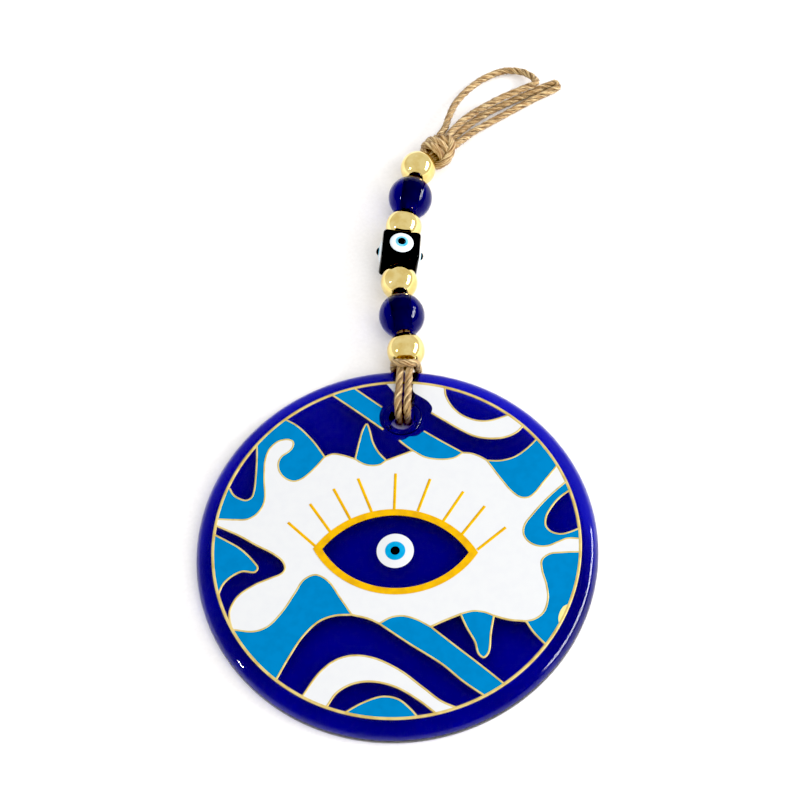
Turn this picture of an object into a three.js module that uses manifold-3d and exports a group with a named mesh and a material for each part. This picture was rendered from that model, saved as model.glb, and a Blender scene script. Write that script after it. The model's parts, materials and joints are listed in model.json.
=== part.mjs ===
// Evil eye ornament: a printed glass disc on a doubled twine strung with beads, lying face up on a table.
// Millimetres, +Z out of the disc's face, +Y towards the hanging loops.
// The origin is the centre of the disc's flat back. The back run of the twine lifts the disc's far side,
// so in this frame the table slopes down gently towards +Y.
import * as THREE from "three";
import { mergeVertices } from "three/addons/utils/BufferGeometryUtils.js";
import { RoundedBoxGeometry } from "three/addons/geometries/RoundedBoxGeometry.js";
import Module from "manifold-3d";

const wasm = await Module();
wasm.setup();

// Clearances
const TOUCH_GAP = 0.3; // between cords, and between a cord and what it lies on
const BEAD_GAP = 0.35; // between beads strung on one stretch of twine
const FLEX_GAP = 0.6; // between beads where the twine bends

// Glass disc
const DISC_RADIUS = 55;
const DISC_THICKNESS = 5.5;
const BACK_EDGE_RADIUS = 1.3;
const SHOULDER_WIDTH = 3.6;
const HOLE_RADIUS = 3.7;
const HOLE_INSET = 17; // from the disc's edge to the hole's centre
const HOLE_CENTRE_Y = DISC_RADIUS - HOLE_INSET;
const HOLE_LIP_WIDTH = 1.9;
const HOLE_LIP_HEIGHT = 0.7;

// Fired print on the face
const PRINT_THICKNESS = 0.12;
const PRINT_MARGIN = 1.9; // from the rounded shoulder's start to the print
const PRINT_RADIUS = DISC_RADIUS - SHOULDER_WIDTH - PRINT_MARGIN;
const RIM_LINE_WIDTH = 0.9;
const BARE_PATCH_RADIUS = 8.6; // round the hole, where no print is left
const EYE_CENTRE_Y = -3.2;
const EYE_HALF_WIDTH = 20.6;
const EYE_UPPER_HEIGHT = 11.2;
const EYE_LOWER_HEIGHT = 11.8;
const EYE_LINE_WIDTH = 1.4;
const EYE_WHITE_RADIUS = 5;
const EYE_IRIS_RADIUS = 2.8;
const EYE_PUPIL_RADIUS = 1.25;

// Twine
const TWINE_RADIUS = 1.1; // where it is free
const HITCH_TWINE_RADIUS = 1; // pulled tight round the disc's edge
const TWINE_SIDES = 8;
const SPLICE_INSET = 2; // inside the disc's edge, where the hitch ends and the string starts

// Beads
const BORE_RADIUS = 2.2;
const STRAND_CLEARANCE = 0.1; // of the two strands in a bore, from its middle
const BORE_TWINE_RADIUS = (BORE_RADIUS - TOUCH_GAP - STRAND_CLEARANCE) / 2;
const GOLD_RADIUS = 5.6;
const COBALT_RADIUS = 6.9;
const CUBE_WIDTH = 11.6;
const CUBE_LENGTH = 10.2;
const CUBE_EDGE_RADIUS = 1.2;
const CUBE_SPIN = 9; // degrees about the twine
const DOT_RADIUS = 3.65;
const DOT_HEIGHT = 0.7;
const DOT_IRIS_RADIUS = 2.2;
const DOT_IRIS_HEIGHT = 0.3;
const DOT_PUPIL_RADIUS = 1.2;
const DOT_PUPIL_HEIGHT = 0.5;

// Knot
const KNOT_RADIUS = 5;
const KNOT_LENGTH = 7.6;
const KNOT_HEADING = 34; // degrees from +Y towards +X
const KNOT_SIDE_HEADING = 29; // of the knot's centre as seen from the last bead
const KNOT_NECK = 1.1; // how far the bundled strands stand out of the wraps
const KNOT_WRAPS = 3;
const KNOT_WRAP_TILT = 22; // degrees

// The table's slope, from the back run of twine that the disc lies on.
const DISC_FOOT_Y = -(DISC_RADIUS - BACK_EDGE_RADIUS);
const BACK_RUN_DEPTH = 2 * HITCH_TWINE_RADIUS + TOUCH_GAP;
const TABLE_SLOPE = BACK_RUN_DEPTH / (DISC_RADIUS - DISC_FOOT_Y);

const tableZ = (y) => -(y - DISC_FOOT_Y) * TABLE_SLOPE;
const aboveTable = ([x, y, height]) => new THREE.Vector3(x, y, tableZ(y) + height);
const radians = THREE.MathUtils.degToRad;

const MATERIALS = {
  cobalt_glass: { color: 0x0a0a96, roughness: 0.05, metalness: 0 },
  cobalt_bead: { color: 0x10107e, roughness: 0.06, metalness: 0 },
  white_enamel: { color: 0xf2f3f5, roughness: 0.3, metalness: 0 },
  gold_enamel: { color: 0xe3bb4a, roughness: 0.4, metalness: 0.3 },
  sky_enamel: { color: 0x2a9fd6, roughness: 0.3, metalness: 0 },
  black_enamel: { color: 0x07080f, roughness: 0.3, metalness: 0 },
  gold_plate: { color: 0xe9c46a, roughness: 0.15, metalness: 1 },
  black_glass: { color: 0x08080c, roughness: 0.08, metalness: 0 },
  white_glass: { color: 0xf5f6f8, roughness: 0.12, metalness: 0 },
  sky_glass: { color: 0x4cb4dc, roughness: 0.12, metalness: 0 },
  jute: { color: 0xc9a36b, roughness: 0.9, metalness: 0 },
};

const ornament = new THREE.Group();
ornament.name = "evil_eye_ornament";

function addMesh(parent, name, geometry, finish) {
  const mesh = new THREE.Mesh(geometry, new THREE.MeshStandardMaterial(MATERIALS[finish]));
  mesh.name = name;
  parent.add(mesh);
  return mesh;
}

// A closed three.js geometry as a manifold-3d solid.
function toSolid(geometry) {
  const bare = geometry.clone();
  bare.deleteAttribute("normal");
  bare.deleteAttribute("uv");
  const merged = mergeVertices(bare, 1e-4);
  const triVerts = new Uint32Array(merged.index.array);
  const vertProperties = new Float32Array(merged.attributes.position.array);
  return new wasm.Manifold(new wasm.Mesh({ numProp: 3, vertProperties, triVerts }));
}

function toGeometry(solid) {
  const mesh = solid.getMesh();
  const geometry = new THREE.BufferGeometry();
  const positions = new THREE.BufferAttribute(new Float32Array(mesh.vertProperties), 3);
  geometry.setAttribute("position", positions);
  geometry.setIndex(new THREE.BufferAttribute(new Uint32Array(mesh.triVerts), 1));
  const flat = geometry.toNonIndexed();
  flat.computeVertexNormals();
  return flat;
}

// A LatheGeometry turned so that its axis is Z.
function latheAboutZ(profile, segments) {
  return new THREE.LatheGeometry(profile, segments).rotateX(Math.PI / 2);
}

function arcPoints(centreR, centreZ, radiusR, radiusZ, fromDegrees, toDegrees, steps) {
  return Array.from({ length: steps + 1 }, (_, i) => {
    const angle = radians(THREE.MathUtils.lerp(fromDegrees, toDegrees, i / steps));
    return new THREE.Vector2(centreR + radiusR * Math.cos(angle), centreZ + radiusZ * Math.sin(angle));
  });
}

function cylinderAboutZ(radius, height, segments) {
  return new THREE.CylinderGeometry(radius, radius, height, segments).rotateX(Math.PI / 2);
}

function extrudeFlat(shape, thickness, baseZ, curveSegments = 12) {
  const settings = { depth: thickness, bevelEnabled: false, curveSegments };
  return new THREE.ExtrudeGeometry(shape, settings).translate(0, 0, baseZ);
}

function circlePath(radius, y = 0) {
  return new THREE.Path().absarc(0, y, radius, 0, 2 * Math.PI, false);
}

function roundShape(radius, y = 0) {
  return new THREE.Shape().absarc(0, y, radius, 0, 2 * Math.PI, false);
}

// A plain round cord along a curve through the given points.
function cordGeometry(points, radius, steps) {
  const outline = Array.from({ length: TWINE_SIDES }, (_, i) => {
    const angle = (2 * Math.PI * i) / TWINE_SIDES;
    return new THREE.Vector2(radius * Math.cos(angle), radius * Math.sin(angle));
  });
  const extrudePath = new THREE.CatmullRomCurve3(points, false, "centripetal");
  return new THREE.ExtrudeGeometry(new THREE.Shape(outline), { steps, extrudePath });
}

// ---- Glass disc, pierced and lipped near its top edge -------------------------------------------

function glassDiscGeometry() {
  const shoulderHeight = DISC_THICKNESS - BACK_EDGE_RADIUS;
  const backArc = arcPoints(
    DISC_RADIUS - BACK_EDGE_RADIUS,
    BACK_EDGE_RADIUS,
    BACK_EDGE_RADIUS,
    BACK_EDGE_RADIUS,
    -90,
    0,
    3,
  );
  const shoulderArc = arcPoints(
    DISC_RADIUS - SHOULDER_WIDTH,
    BACK_EDGE_RADIUS,
    SHOULDER_WIDTH,
    shoulderHeight,
    0,
    90,
    5,
  );
  const axisBack = new THREE.Vector2(0, 0);
  const axisFace = new THREE.Vector2(0, DISC_THICKNESS);
  const body = latheAboutZ([axisBack, ...backArc, ...shoulderArc.slice(1), axisFace], 72);
  const lipCentre = HOLE_RADIUS + HOLE_LIP_WIDTH / 2;
  const lipArc = arcPoints(lipCentre, DISC_THICKNESS, HOLE_LIP_WIDTH / 2, HOLE_LIP_HEIGHT, 0, 180, 4);
  const lipFoot = [
    new THREE.Vector2(HOLE_RADIUS, DISC_THICKNESS / 2),
    new THREE.Vector2(HOLE_RADIUS + HOLE_LIP_WIDTH, DISC_THICKNESS / 2),
  ];
  const lipLoop = [...lipArc, ...lipFoot];
  const lip = latheAboutZ([...lipLoop, lipLoop[0].clone()], 24);
  lip.translate(0, HOLE_CENTRE_Y, 0);
  const hole = cylinderAboutZ(HOLE_RADIUS, 4 * DISC_THICKNESS, 24).translate(0, HOLE_CENTRE_Y, 0);
  return toGeometry(toSolid(body).add(toSolid(lip)).subtract(toSolid(hole)));
}

addMesh(ornament, "glass_disc", glassDiscGeometry(), "cobalt_glass");

// ---- Fired print: flat skins side by side on the disc's face -------------------------------------

// The almond outline grows by the line's width for the outside of its gold line.
function almondPoints(grow) {
  const steps = 16;
  const halfWidth = EYE_HALF_WIDTH + 1.6 * grow;
  const lid = (height, from, to) =>
    Array.from({ length: steps }, (_, i) => {
      const x = THREE.MathUtils.lerp(from, to, i / steps);
      const rise = 1 - Math.pow(Math.abs(x) / halfWidth, 1.7);
      return new THREE.Vector2(x, EYE_CENTRE_Y + height * rise);
    });
  const upper = lid(EYE_UPPER_HEIGHT + grow, halfWidth, -halfWidth);
  const lower = lid(-(EYE_LOWER_HEIGHT + grow), -halfWidth, halfWidth);
  return [...upper, ...lower];
}

function addPrint() {
  const ringOuter = PRINT_RADIUS + RIM_LINE_WIDTH;
  const rimLine = roundShape(ringOuter);
  rimLine.holes.push(circlePath(PRINT_RADIUS));
  const rimSkin = extrudeFlat(rimLine, PRINT_THICKNESS, DISC_THICKNESS, 36);
  addMesh(ornament, "gold_rim_line", rimSkin, "gold_enamel");

  const field = roundShape(PRINT_RADIUS);
  field.holes.push(new THREE.Path(almondPoints(EYE_LINE_WIDTH)));
  field.holes.push(circlePath(BARE_PATCH_RADIUS, HOLE_CENTRE_Y));
  const fieldSkin = extrudeFlat(field, PRINT_THICKNESS, DISC_THICKNESS, 36);
  addMesh(ornament, "enamel_field", fieldSkin, "white_enamel");

  const eyeLine = new THREE.Shape(almondPoints(EYE_LINE_WIDTH));
  eyeLine.holes.push(new THREE.Path(almondPoints(0)));
  const eyeLineSkin = extrudeFlat(eyeLine, PRINT_THICKNESS, DISC_THICKNESS);
  addMesh(ornament, "gold_eye_line", eyeLineSkin, "gold_enamel");

  const white = roundShape(EYE_WHITE_RADIUS, EYE_CENTRE_Y);
  white.holes.push(circlePath(EYE_IRIS_RADIUS, EYE_CENTRE_Y));
  addMesh(ornament, "eye_white", extrudeFlat(white, PRINT_THICKNESS, DISC_THICKNESS), "white_enamel");

  const iris = roundShape(EYE_IRIS_RADIUS, EYE_CENTRE_Y);
  iris.holes.push(circlePath(EYE_PUPIL_RADIUS, EYE_CENTRE_Y));
  addMesh(ornament, "eye_iris", extrudeFlat(iris, PRINT_THICKNESS, DISC_THICKNESS), "sky_enamel");

  const pupil = roundShape(EYE_PUPIL_RADIUS, EYE_CENTRE_Y);
  addMesh(ornament, "eye_pupil", extrudeFlat(pupil, PRINT_THICKNESS, DISC_THICKNESS), "black_enamel");
}

addPrint();

// ---- Beads, one after another along the twine ----------------------------------------------------

// Axis along +Y, bored right through.
function roundBeadGeometry(radius) {
  const halfLength = Math.sqrt(radius * radius - BORE_RADIUS * BORE_RADIUS);
  const edgeAngle = THREE.MathUtils.radToDeg(Math.asin(halfLength / radius));
  const outer = arcPoints(0, 0, radius, radius, -edgeAngle, edgeAngle, 10);
  return new THREE.LatheGeometry([...outer, outer[0].clone()], 20);
}

function cubeBeadGeometry() {
  const cube = new RoundedBoxGeometry(CUBE_WIDTH, CUBE_LENGTH, CUBE_WIDTH, 2, CUBE_EDGE_RADIUS);
  const bore = new THREE.CylinderGeometry(BORE_RADIUS, BORE_RADIUS, 2 * CUBE_LENGTH, 20);
  return toGeometry(toSolid(cube).subtract(toSolid(bore)));
}

const sphereHalfLength = (radius) => Math.sqrt(radius * radius - BORE_RADIUS * BORE_RADIUS);
const BEAD_KINDS = {
  gold: { halfLength: sphereHalfLength(GOLD_RADIUS), make: () => roundBeadGeometry(GOLD_RADIUS) },
  cobalt: { halfLength: sphereHalfLength(COBALT_RADIUS), make: () => roundBeadGeometry(COBALT_RADIUS) },
  cube: { halfLength: CUBE_LENGTH / 2, make: cubeBeadGeometry },
};

// In order from the disc. A heading is degrees from +Y towards +X and a rise is degrees up from the table.
const BEADS = [
  { name: "gold_bead_1", kind: "gold", finish: "gold_plate", heading: -9, rise: 5, gapBefore: 0 },
  { name: "cobalt_bead_1", kind: "cobalt", finish: "cobalt_bead", heading: -8, rise: 1, gapBefore: FLEX_GAP },
  { name: "gold_bead_2", kind: "gold", finish: "gold_plate", heading: -5, rise: 3, gapBefore: BEAD_GAP },
  { name: "cube_bead", kind: "cube", finish: "black_glass", heading: 1, rise: 0, gapBefore: BEAD_GAP },
  { name: "gold_bead_3", kind: "gold", finish: "gold_plate", heading: 6, rise: -2, gapBefore: BEAD_GAP },
  { name: "cobalt_bead_2", kind: "cobalt", finish: "cobalt_bead", heading: 8, rise: -1, gapBefore: BEAD_GAP },
  { name: "gold_bead_4", kind: "gold", finish: "gold_plate", heading: 10, rise: 0, gapBefore: FLEX_GAP },
];

// The first bead's bore starts just clear of the twine round the disc's edge.
const STRING_START = [0.6, DISC_RADIUS + 1.7 * HITCH_TWINE_RADIUS, 5.95];

const pitch = (rise) => radians(rise) - Math.atan(TABLE_SLOPE);

const headingVector = ({ heading, rise }) =>
  new THREE.Vector3(
    Math.sin(radians(heading)) * Math.cos(pitch(rise)),
    Math.cos(radians(heading)) * Math.cos(pitch(rise)),
    Math.sin(pitch(rise)),
  );

const headingTurn = ({ heading, rise }) => new THREE.Euler(pitch(rise), 0, -radians(heading), "ZXY");

function threadBeads() {
  const end = aboveTable(STRING_START);
  for (const bead of BEADS) {
    const along = headingVector(bead);
    const { halfLength, make } = BEAD_KINDS[bead.kind];
    bead.near = end.clone().addScaledVector(along, bead.gapBefore);
    bead.centre = bead.near.clone().addScaledVector(along, halfLength);
    bead.far = bead.centre.clone().addScaledVector(along, halfLength);
    bead.group = new THREE.Group();
    bead.group.position.copy(bead.centre);
    bead.group.rotation.copy(headingTurn(bead));
    if (bead.kind === "cube") bead.group.rotateY(radians(CUBE_SPIN));
    ornament.add(bead.group);
    addMesh(bead.group, bead.name, make(), bead.finish);
    end.copy(bead.far);
  }
}

threadBeads();

// A raised eye on each of the cube's four long faces: three drops of glass one on another.
function domeGeometry(radius, height) {
  const crown = arcPoints(radius - height, 0, height, height, 0, 90, 3);
  const axisFoot = new THREE.Vector2(0, 0);
  const axisTop = new THREE.Vector2(0, height);
  return latheAboutZ([axisFoot, ...crown, axisTop], 16);
}

function addCubeEyes() {
  const cube = BEADS.find((bead) => bead.kind === "cube");
  const faces = ["top", "right", "back", "left"];
  faces.forEach((face, i) => {
    const side = new THREE.Group();
    side.rotation.y = (i * Math.PI) / 2;
    cube.group.add(side);
    const drops = [
      ["white", DOT_RADIUS, DOT_HEIGHT, "white_glass"],
      ["iris", DOT_IRIS_RADIUS, DOT_IRIS_HEIGHT, "sky_glass"],
      ["pupil", DOT_PUPIL_RADIUS, DOT_PUPIL_HEIGHT, "black_glass"],
    ];
    let base = CUBE_WIDTH / 2;
    for (const [drop, radius, height, finish] of drops) {
      const dome = domeGeometry(radius, height).translate(0, 0, base);
      addMesh(side, `cube_${drop}_${face}`, dome, finish);
      base += height;
    }
  });
}

addCubeEyes();

// ---- Twine hitched round the disc's edge ---------------------------------------------------------

// One length: over the face from the string, down the hole, back to the rim, up it and across as the bar.
function addHitch() {
  const r = HITCH_TWINE_RADIUS;
  const reach = r + TOUCH_GAP;
  const legX = r + TOUCH_GAP;
  const lipRadius = HOLE_RADIUS + HOLE_LIP_WIDTH / 2;
  const wallY = HOLE_CENTRE_Y + Math.sqrt((HOLE_RADIUS - reach) ** 2 - legX ** 2);
  const lipY = HOLE_CENTRE_Y + Math.sqrt(lipRadius ** 2 - legX ** 2);
  const turnWidth = lipY - wallY;
  const faceZ = DISC_THICKNESS + PRINT_THICKNESS + reach;
  const barZ = faceZ + 2 * r - TOUCH_GAP;
  const footY = -DISC_FOOT_Y;
  const rimY = DISC_RADIUS + reach;
  const bend = (x, y, z, width, height, degrees) => [
    x,
    y + width * Math.cos(radians(degrees)),
    z + height * Math.sin(radians(degrees)),
  ];
  const half = [
    [legX, DISC_RADIUS - SPLICE_INSET, faceZ],
    [legX, DISC_RADIUS - SPLICE_INSET - 2, faceZ],
    [legX, lipY + 3, faceZ],
    bend(legX, lipY, DISC_THICKNESS, turnWidth, HOLE_LIP_HEIGHT + reach, 90),
    bend(legX, lipY, DISC_THICKNESS, turnWidth, HOLE_LIP_HEIGHT + reach, 135),
    bend(legX, lipY, DISC_THICKNESS, turnWidth, HOLE_LIP_HEIGHT + reach, 180),
    bend(legX, lipY, 0, turnWidth, reach, 180),
    bend(legX, lipY, 0, turnWidth, reach, 225),
    bend(1.1 * legX, lipY, 0, turnWidth, reach, 270),
    bend(2 * legX, footY, BACK_EDGE_RADIUS, BACK_EDGE_RADIUS + reach, BACK_EDGE_RADIUS + reach, 270),
    bend(2.5 * legX, footY, BACK_EDGE_RADIUS, BACK_EDGE_RADIUS + reach, BACK_EDGE_RADIUS + reach, 315),
    bend(2.9 * legX, footY, BACK_EDGE_RADIUS, BACK_EDGE_RADIUS + reach, BACK_EDGE_RADIUS + reach, 360),
    [2.9 * legX, rimY - 0.2, DISC_THICKNESS - 1],
    [2.3 * legX, rimY - 0.9, faceZ + r],
    [legX, rimY - 1.5, barZ],
  ].map(([x, y, z]) => new THREE.Vector3(x, y, z));
  const bar = new THREE.Vector3(0, rimY - 1.6, barZ + TOUCH_GAP);
  const mirrored = half.map((point) => new THREE.Vector3(-point.x, point.y, point.z)).reverse();
  const geometry = cordGeometry([...half, bar, ...mirrored], r, 72);
  addMesh(ornament, "hitch_twine", geometry, "jute");
}

addHitch();

// ---- Two strands inside the beads, in the three stretches that bend against each other ------------

const STRETCHES = [
  { name: "lower", beads: BEADS.slice(0, 1) },
  { name: "middle", beads: BEADS.slice(1, 6) },
  { name: "upper", beads: BEADS.slice(6) },
];

// The lowest strands come over the disc's rounded edge and turn straight into the first bore.
function strandOverRim(across, firstBead) {
  const spliceY = DISC_RADIUS - SPLICE_INSET + 2 * TOUCH_GAP;
  const faceZ = DISC_THICKNESS + TOUCH_GAP + HITCH_TWINE_RADIUS;
  const mouth = firstBead.near.clone().add(across);
  return [
    new THREE.Vector3(across.x, spliceY, faceZ),
    new THREE.Vector3(across.x, spliceY + 0.8, faceZ - 0.2),
    new THREE.Vector3(across.x, DISC_RADIUS + 0.4, THREE.MathUtils.lerp(faceZ, mouth.z, 0.7)),
    mouth.addScaledVector(headingVector(firstBead), -BORE_TWINE_RADIUS / 2),
  ];
}

function addStrands() {
  for (const stretch of STRETCHES) {
    for (const side of ["left", "right"]) {
      const offset = (side === "left" ? -1 : 1) * (BORE_TWINE_RADIUS + STRAND_CLEARANCE);
      const sideways = (bead) => new THREE.Vector3(offset, 0, 0).applyEuler(headingTurn(bead));
      const points = stretch.beads.flatMap((bead) =>
        [bead.near, bead.centre, bead.far].map((point) => point.clone().add(sideways(bead))),
      );
      const [firstBead] = stretch.beads;
      const start = stretch.name === "lower" ? strandOverRim(sideways(firstBead), firstBead) : [];
      const steps = 6 * stretch.beads.length + 2 * start.length;
      const geometry = cordGeometry([...start, ...points], BORE_TWINE_RADIUS, steps);
      addMesh(ornament, `strand_${stretch.name}_${side}`, geometry, "jute");
    }
  }
}

addStrands();

// ---- Overhand knot: tilted wraps round the bundled strands ----------------------------------------

const KNOT_TURN = { heading: KNOT_HEADING, rise: 0 };

function knotCentre() {
  const lastBead = BEADS[BEADS.length - 1];
  const reach = BEAD_KINDS[lastBead.kind].halfLength + KNOT_LENGTH / 2 + 2 * FLEX_GAP + BEAD_GAP;
  const side = headingVector({ heading: KNOT_SIDE_HEADING, rise: 0 });
  const centre = lastBead.centre.clone().addScaledVector(side, reach);
  return centre.setZ(tableZ(centre.y) + KNOT_RADIUS + TOUCH_GAP);
}

function addKnot() {
  const wrapRadius = KNOT_LENGTH / (2 * KNOT_WRAPS) + TOUCH_GAP;
  const ringRadius = KNOT_RADIUS - wrapRadius;
  const circle = arcPoints(ringRadius, 0, wrapRadius, wrapRadius, -180, 180, 8);
  circle[circle.length - 1] = circle[0].clone();
  const core = new THREE.CylinderGeometry(ringRadius, ringRadius, KNOT_LENGTH + KNOT_NECK, 16);
  core.translate(0, KNOT_NECK / 2, 0);
  let lump = toSolid(core);
  for (let i = 0; i < KNOT_WRAPS; i += 1) {
    const wrap = new THREE.LatheGeometry(circle, 20);
    wrap.rotateX(radians(i % 2 ? -KNOT_WRAP_TILT : KNOT_WRAP_TILT));
    wrap.translate(0, (i - (KNOT_WRAPS - 1) / 2) * wrapRadius * 1.3, 0);
    lump = lump.add(toSolid(wrap));
  }
  const knot = addMesh(ornament, "overhand_knot", toGeometry(lump), "jute");
  knot.rotation.copy(headingTurn(KNOT_TURN));
  knot.position.copy(knotCentre());
}

addKnot();

// ---- The two free hanging loops: x and y from the knot's middle, and height over the table -----------

// Where a strand leaves the knot, across and up from the knot's axis.
function knotExit(across, up) {
  const reach = KNOT_LENGTH / 2 + KNOT_NECK + TOUCH_GAP;
  const offset = new THREE.Vector3(across, 0, up).applyEuler(headingTurn(KNOT_TURN));
  return knotCentre().add(offset).addScaledVector(headingVector(KNOT_TURN), reach);
}

const WIDE_LOOP = [
  [2.3, 9.9, 5.6],
  [3.5, 15.9, 4.6],
  [5.3, 22.4, 3.6],
  [9.3, 29.6, 2.6],
  [14.7, 35.4, 2],
  [21.2, 38.9, 1.8],
  [27.2, 38.4, 1.9],
  [31.2, 34.9, 2.6],
  [31.7, 31.5, 3.9],
  [28.2, 29, 4.2],
  [21.7, 25.4, 4],
  [14.7, 20.2, 4.4],
  [8.3, 13.8, 5.2],
];

const LONG_LOOP = [
  [8.9, 13.6, 1.9],
  [15.2, 19.8, 1.4],
  [22.2, 24.7, 1.3],
  [29.2, 28.8, 1.3],
  [35.7, 32.8, 1.3],
  [38.6, 33.7, 1.3],
  [39.1, 32.1, 1.3],
  [36.9, 30.3, 1.3],
  [31.5, 26.9, 1.3],
  [25.2, 22.3, 1.3],
  [18.2, 17.1, 1.4],
  [11.7, 11.5, 2.1],
];

function addLoop(name, exit, points, entry) {
  const middle = knotCentre();
  const lying = points.map(([x, y, height]) => aboveTable([middle.x + x, middle.y + y, height]));
  const route = [exit, ...lying, entry];
  addMesh(ornament, name, cordGeometry(route, TWINE_RADIUS, 44), "jute");
}

addLoop("loop_wide", knotExit(-2.6, 1.3), WIDE_LOOP, knotExit(-0.2, 1.6));
addLoop("loop_long", knotExit(0.6, -1.3), LONG_LOOP, knotExit(2.9, -0.6));

export default ornament;
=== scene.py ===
"""A hanging evil eye ornament: a printed cobalt glass disc on a doubled twine strung with seven beads."""

import json
import logging
import math
import random
from contextlib import contextmanager
from dataclasses import dataclass, field
from enum import Enum
from typing import Callable, Iterator, Sequence

import bmesh
import bpy
from mathutils import Matrix, Vector, noise


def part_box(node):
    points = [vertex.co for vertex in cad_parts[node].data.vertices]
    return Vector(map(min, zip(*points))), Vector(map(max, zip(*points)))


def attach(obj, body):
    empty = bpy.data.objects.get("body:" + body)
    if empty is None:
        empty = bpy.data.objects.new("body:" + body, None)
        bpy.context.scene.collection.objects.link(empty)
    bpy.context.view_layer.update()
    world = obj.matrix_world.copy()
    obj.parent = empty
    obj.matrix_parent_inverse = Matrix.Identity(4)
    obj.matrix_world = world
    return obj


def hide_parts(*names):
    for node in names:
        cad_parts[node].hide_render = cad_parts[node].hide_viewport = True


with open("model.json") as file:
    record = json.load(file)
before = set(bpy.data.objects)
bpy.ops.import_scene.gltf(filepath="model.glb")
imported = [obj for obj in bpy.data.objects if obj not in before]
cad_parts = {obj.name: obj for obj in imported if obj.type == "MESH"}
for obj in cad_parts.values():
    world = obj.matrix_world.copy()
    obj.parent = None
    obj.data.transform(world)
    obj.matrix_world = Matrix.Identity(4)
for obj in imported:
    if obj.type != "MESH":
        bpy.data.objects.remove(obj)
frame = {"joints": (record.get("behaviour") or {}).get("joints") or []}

LOG = logging.getLogger("ornament")
MM = 0.001
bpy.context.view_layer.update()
Point = tuple[float, ...]
EdgeTest = Callable[[bmesh.types.BMEdge], bool]
# A point of a route, its side, up and forward directions, and its distance from the start.
RouteFrame = tuple[Vector, Vector, Vector, Vector, float]

# What the twine's finish reads: the place along and across a ply, and how far it is out of the grooves, which
# sets its painted shade.
TWINE_UV = "TwineUV"
GROOVE_SHADE_MASK = "crown_for_groove_shade"

# The knot's middle: X and Y from the disc's middle and its height over the table, in millimetres.
KNOT_MIDDLE = (5.9, 139.6, 5.3)

# What the beads share: the bore that the doubled twine fills, and the cube's length along it.
BORE_RADIUS = 2.2 * MM
CUBE_LENGTH = 10.2 * MM


# ---- Colour and nodes --------------------------------------------------------------------------------


def linear(hex_colour: str) -> tuple[float, float, float, float]:
    """Turns an sRGB hex colour to linear.

    Args:
        hex_colour: six hex digits with a leading #.

    Returns:
        Linear red, green, blue and an alpha of 1.
    """
    channels = [int(hex_colour[i : i + 2], 16) / 255 for i in (1, 3, 5)]
    curve = [c / 12.92 if c <= 0.04045 else ((c + 0.055) / 1.055) ** 2.4 for c in channels]
    return (curve[0], curve[1], curve[2], 1.0)


def add_node(
    tree: bpy.types.NodeTree,
    kind: str,
    settings: dict[str, object] | None = None,
    inputs: dict[str | int, object] | None = None,
) -> bpy.types.Node:
    """Adds a node with its settings and what feeds it.

    Args:
        tree: the node tree.
        kind: the node's type, without the ShaderNode prefix.
        settings: the node's own properties by name.
        inputs: each input's constant or the output socket linked to it, by input name or number.

    Returns:
        The node.
    """
    made = tree.nodes.new("ShaderNode" + kind)
    for name, value in (settings or {}).items():
        setattr(made, name, value)
    for name, value in (inputs or {}).items():
        if isinstance(value, bpy.types.NodeSocket):
            tree.links.new(value, made.inputs[name])
        else:
            made.inputs[name].default_value = value
    return made


def blank_material(name: str) -> tuple[bpy.types.Material, bpy.types.NodeTree, bpy.types.Node]:
    """Makes a material with an empty tree and an output.

    Args:
        name: the finish's name.

    Returns:
        The material, its tree and its output node.
    """
    material = bpy.data.materials.new(name)
    material.use_nodes = True
    tree = material.node_tree
    tree.nodes.clear()
    return material, tree, tree.nodes.new("ShaderNodeOutputMaterial")


def set_ramp(ramp: bpy.types.Node, stops: Sequence[tuple[float, str]]) -> None:
    """Sets a colour ramp's stops.

    Args:
        ramp: the ColorRamp node.
        stops: each stop's place and hex colour, in order.
    """
    elements = ramp.color_ramp.elements
    while len(elements) < len(stops):
        elements.new(1.0)
    for element, (place, colour) in zip(elements, stops):
        element.position = place
        element.color = linear(colour)


# ---- Finishes ----------------------------------------------------------------------------------------


@dataclass(frozen=True)
class CobaltGlass:
    """Cast soda glass coloured right through, fire polished: deep blue that darkens with thickness."""

    name: str
    absorption: str
    density: float
    ripple_mm: float
    ripple_depth_mm: float
    roughness: float = 0.015
    ior: float = 1.45

    def make(self) -> bpy.types.Material:
        """Returns the glass: clear surface, blue absorbed in depth, faint hand-poured ripple."""
        material, tree, output = blank_material(self.name)
        place = add_node(tree, "TexCoord")
        ripple = add_node(
            tree,
            "TexNoise",
            inputs={"Vector": place.outputs["Object"], "Scale": 1 / (self.ripple_mm * MM), "Detail": 1.0},
        )
        bump = add_node(
            tree,
            "Bump",
            inputs={
                "Height": ripple.outputs["Fac"],
                "Strength": 0.5,
                "Distance": self.ripple_depth_mm * MM,
            },
        )
        surface = add_node(
            tree,
            "BsdfPrincipled",
            inputs={
                "Base Color": (1.0, 1.0, 1.0, 1.0),
                "Transmission Weight": 1.0,
                "Roughness": self.roughness,
                "IOR": self.ior,
                "Normal": bump.outputs["Normal"],
            },
        )
        depth = add_node(
            tree, "VolumeAbsorption", inputs={"Color": linear(self.absorption), "Density": self.density}
        )
        tree.links.new(surface.outputs["BSDF"], output.inputs["Surface"])
        tree.links.new(depth.outputs["Volume"], output.inputs["Volume"])
        return material


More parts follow.
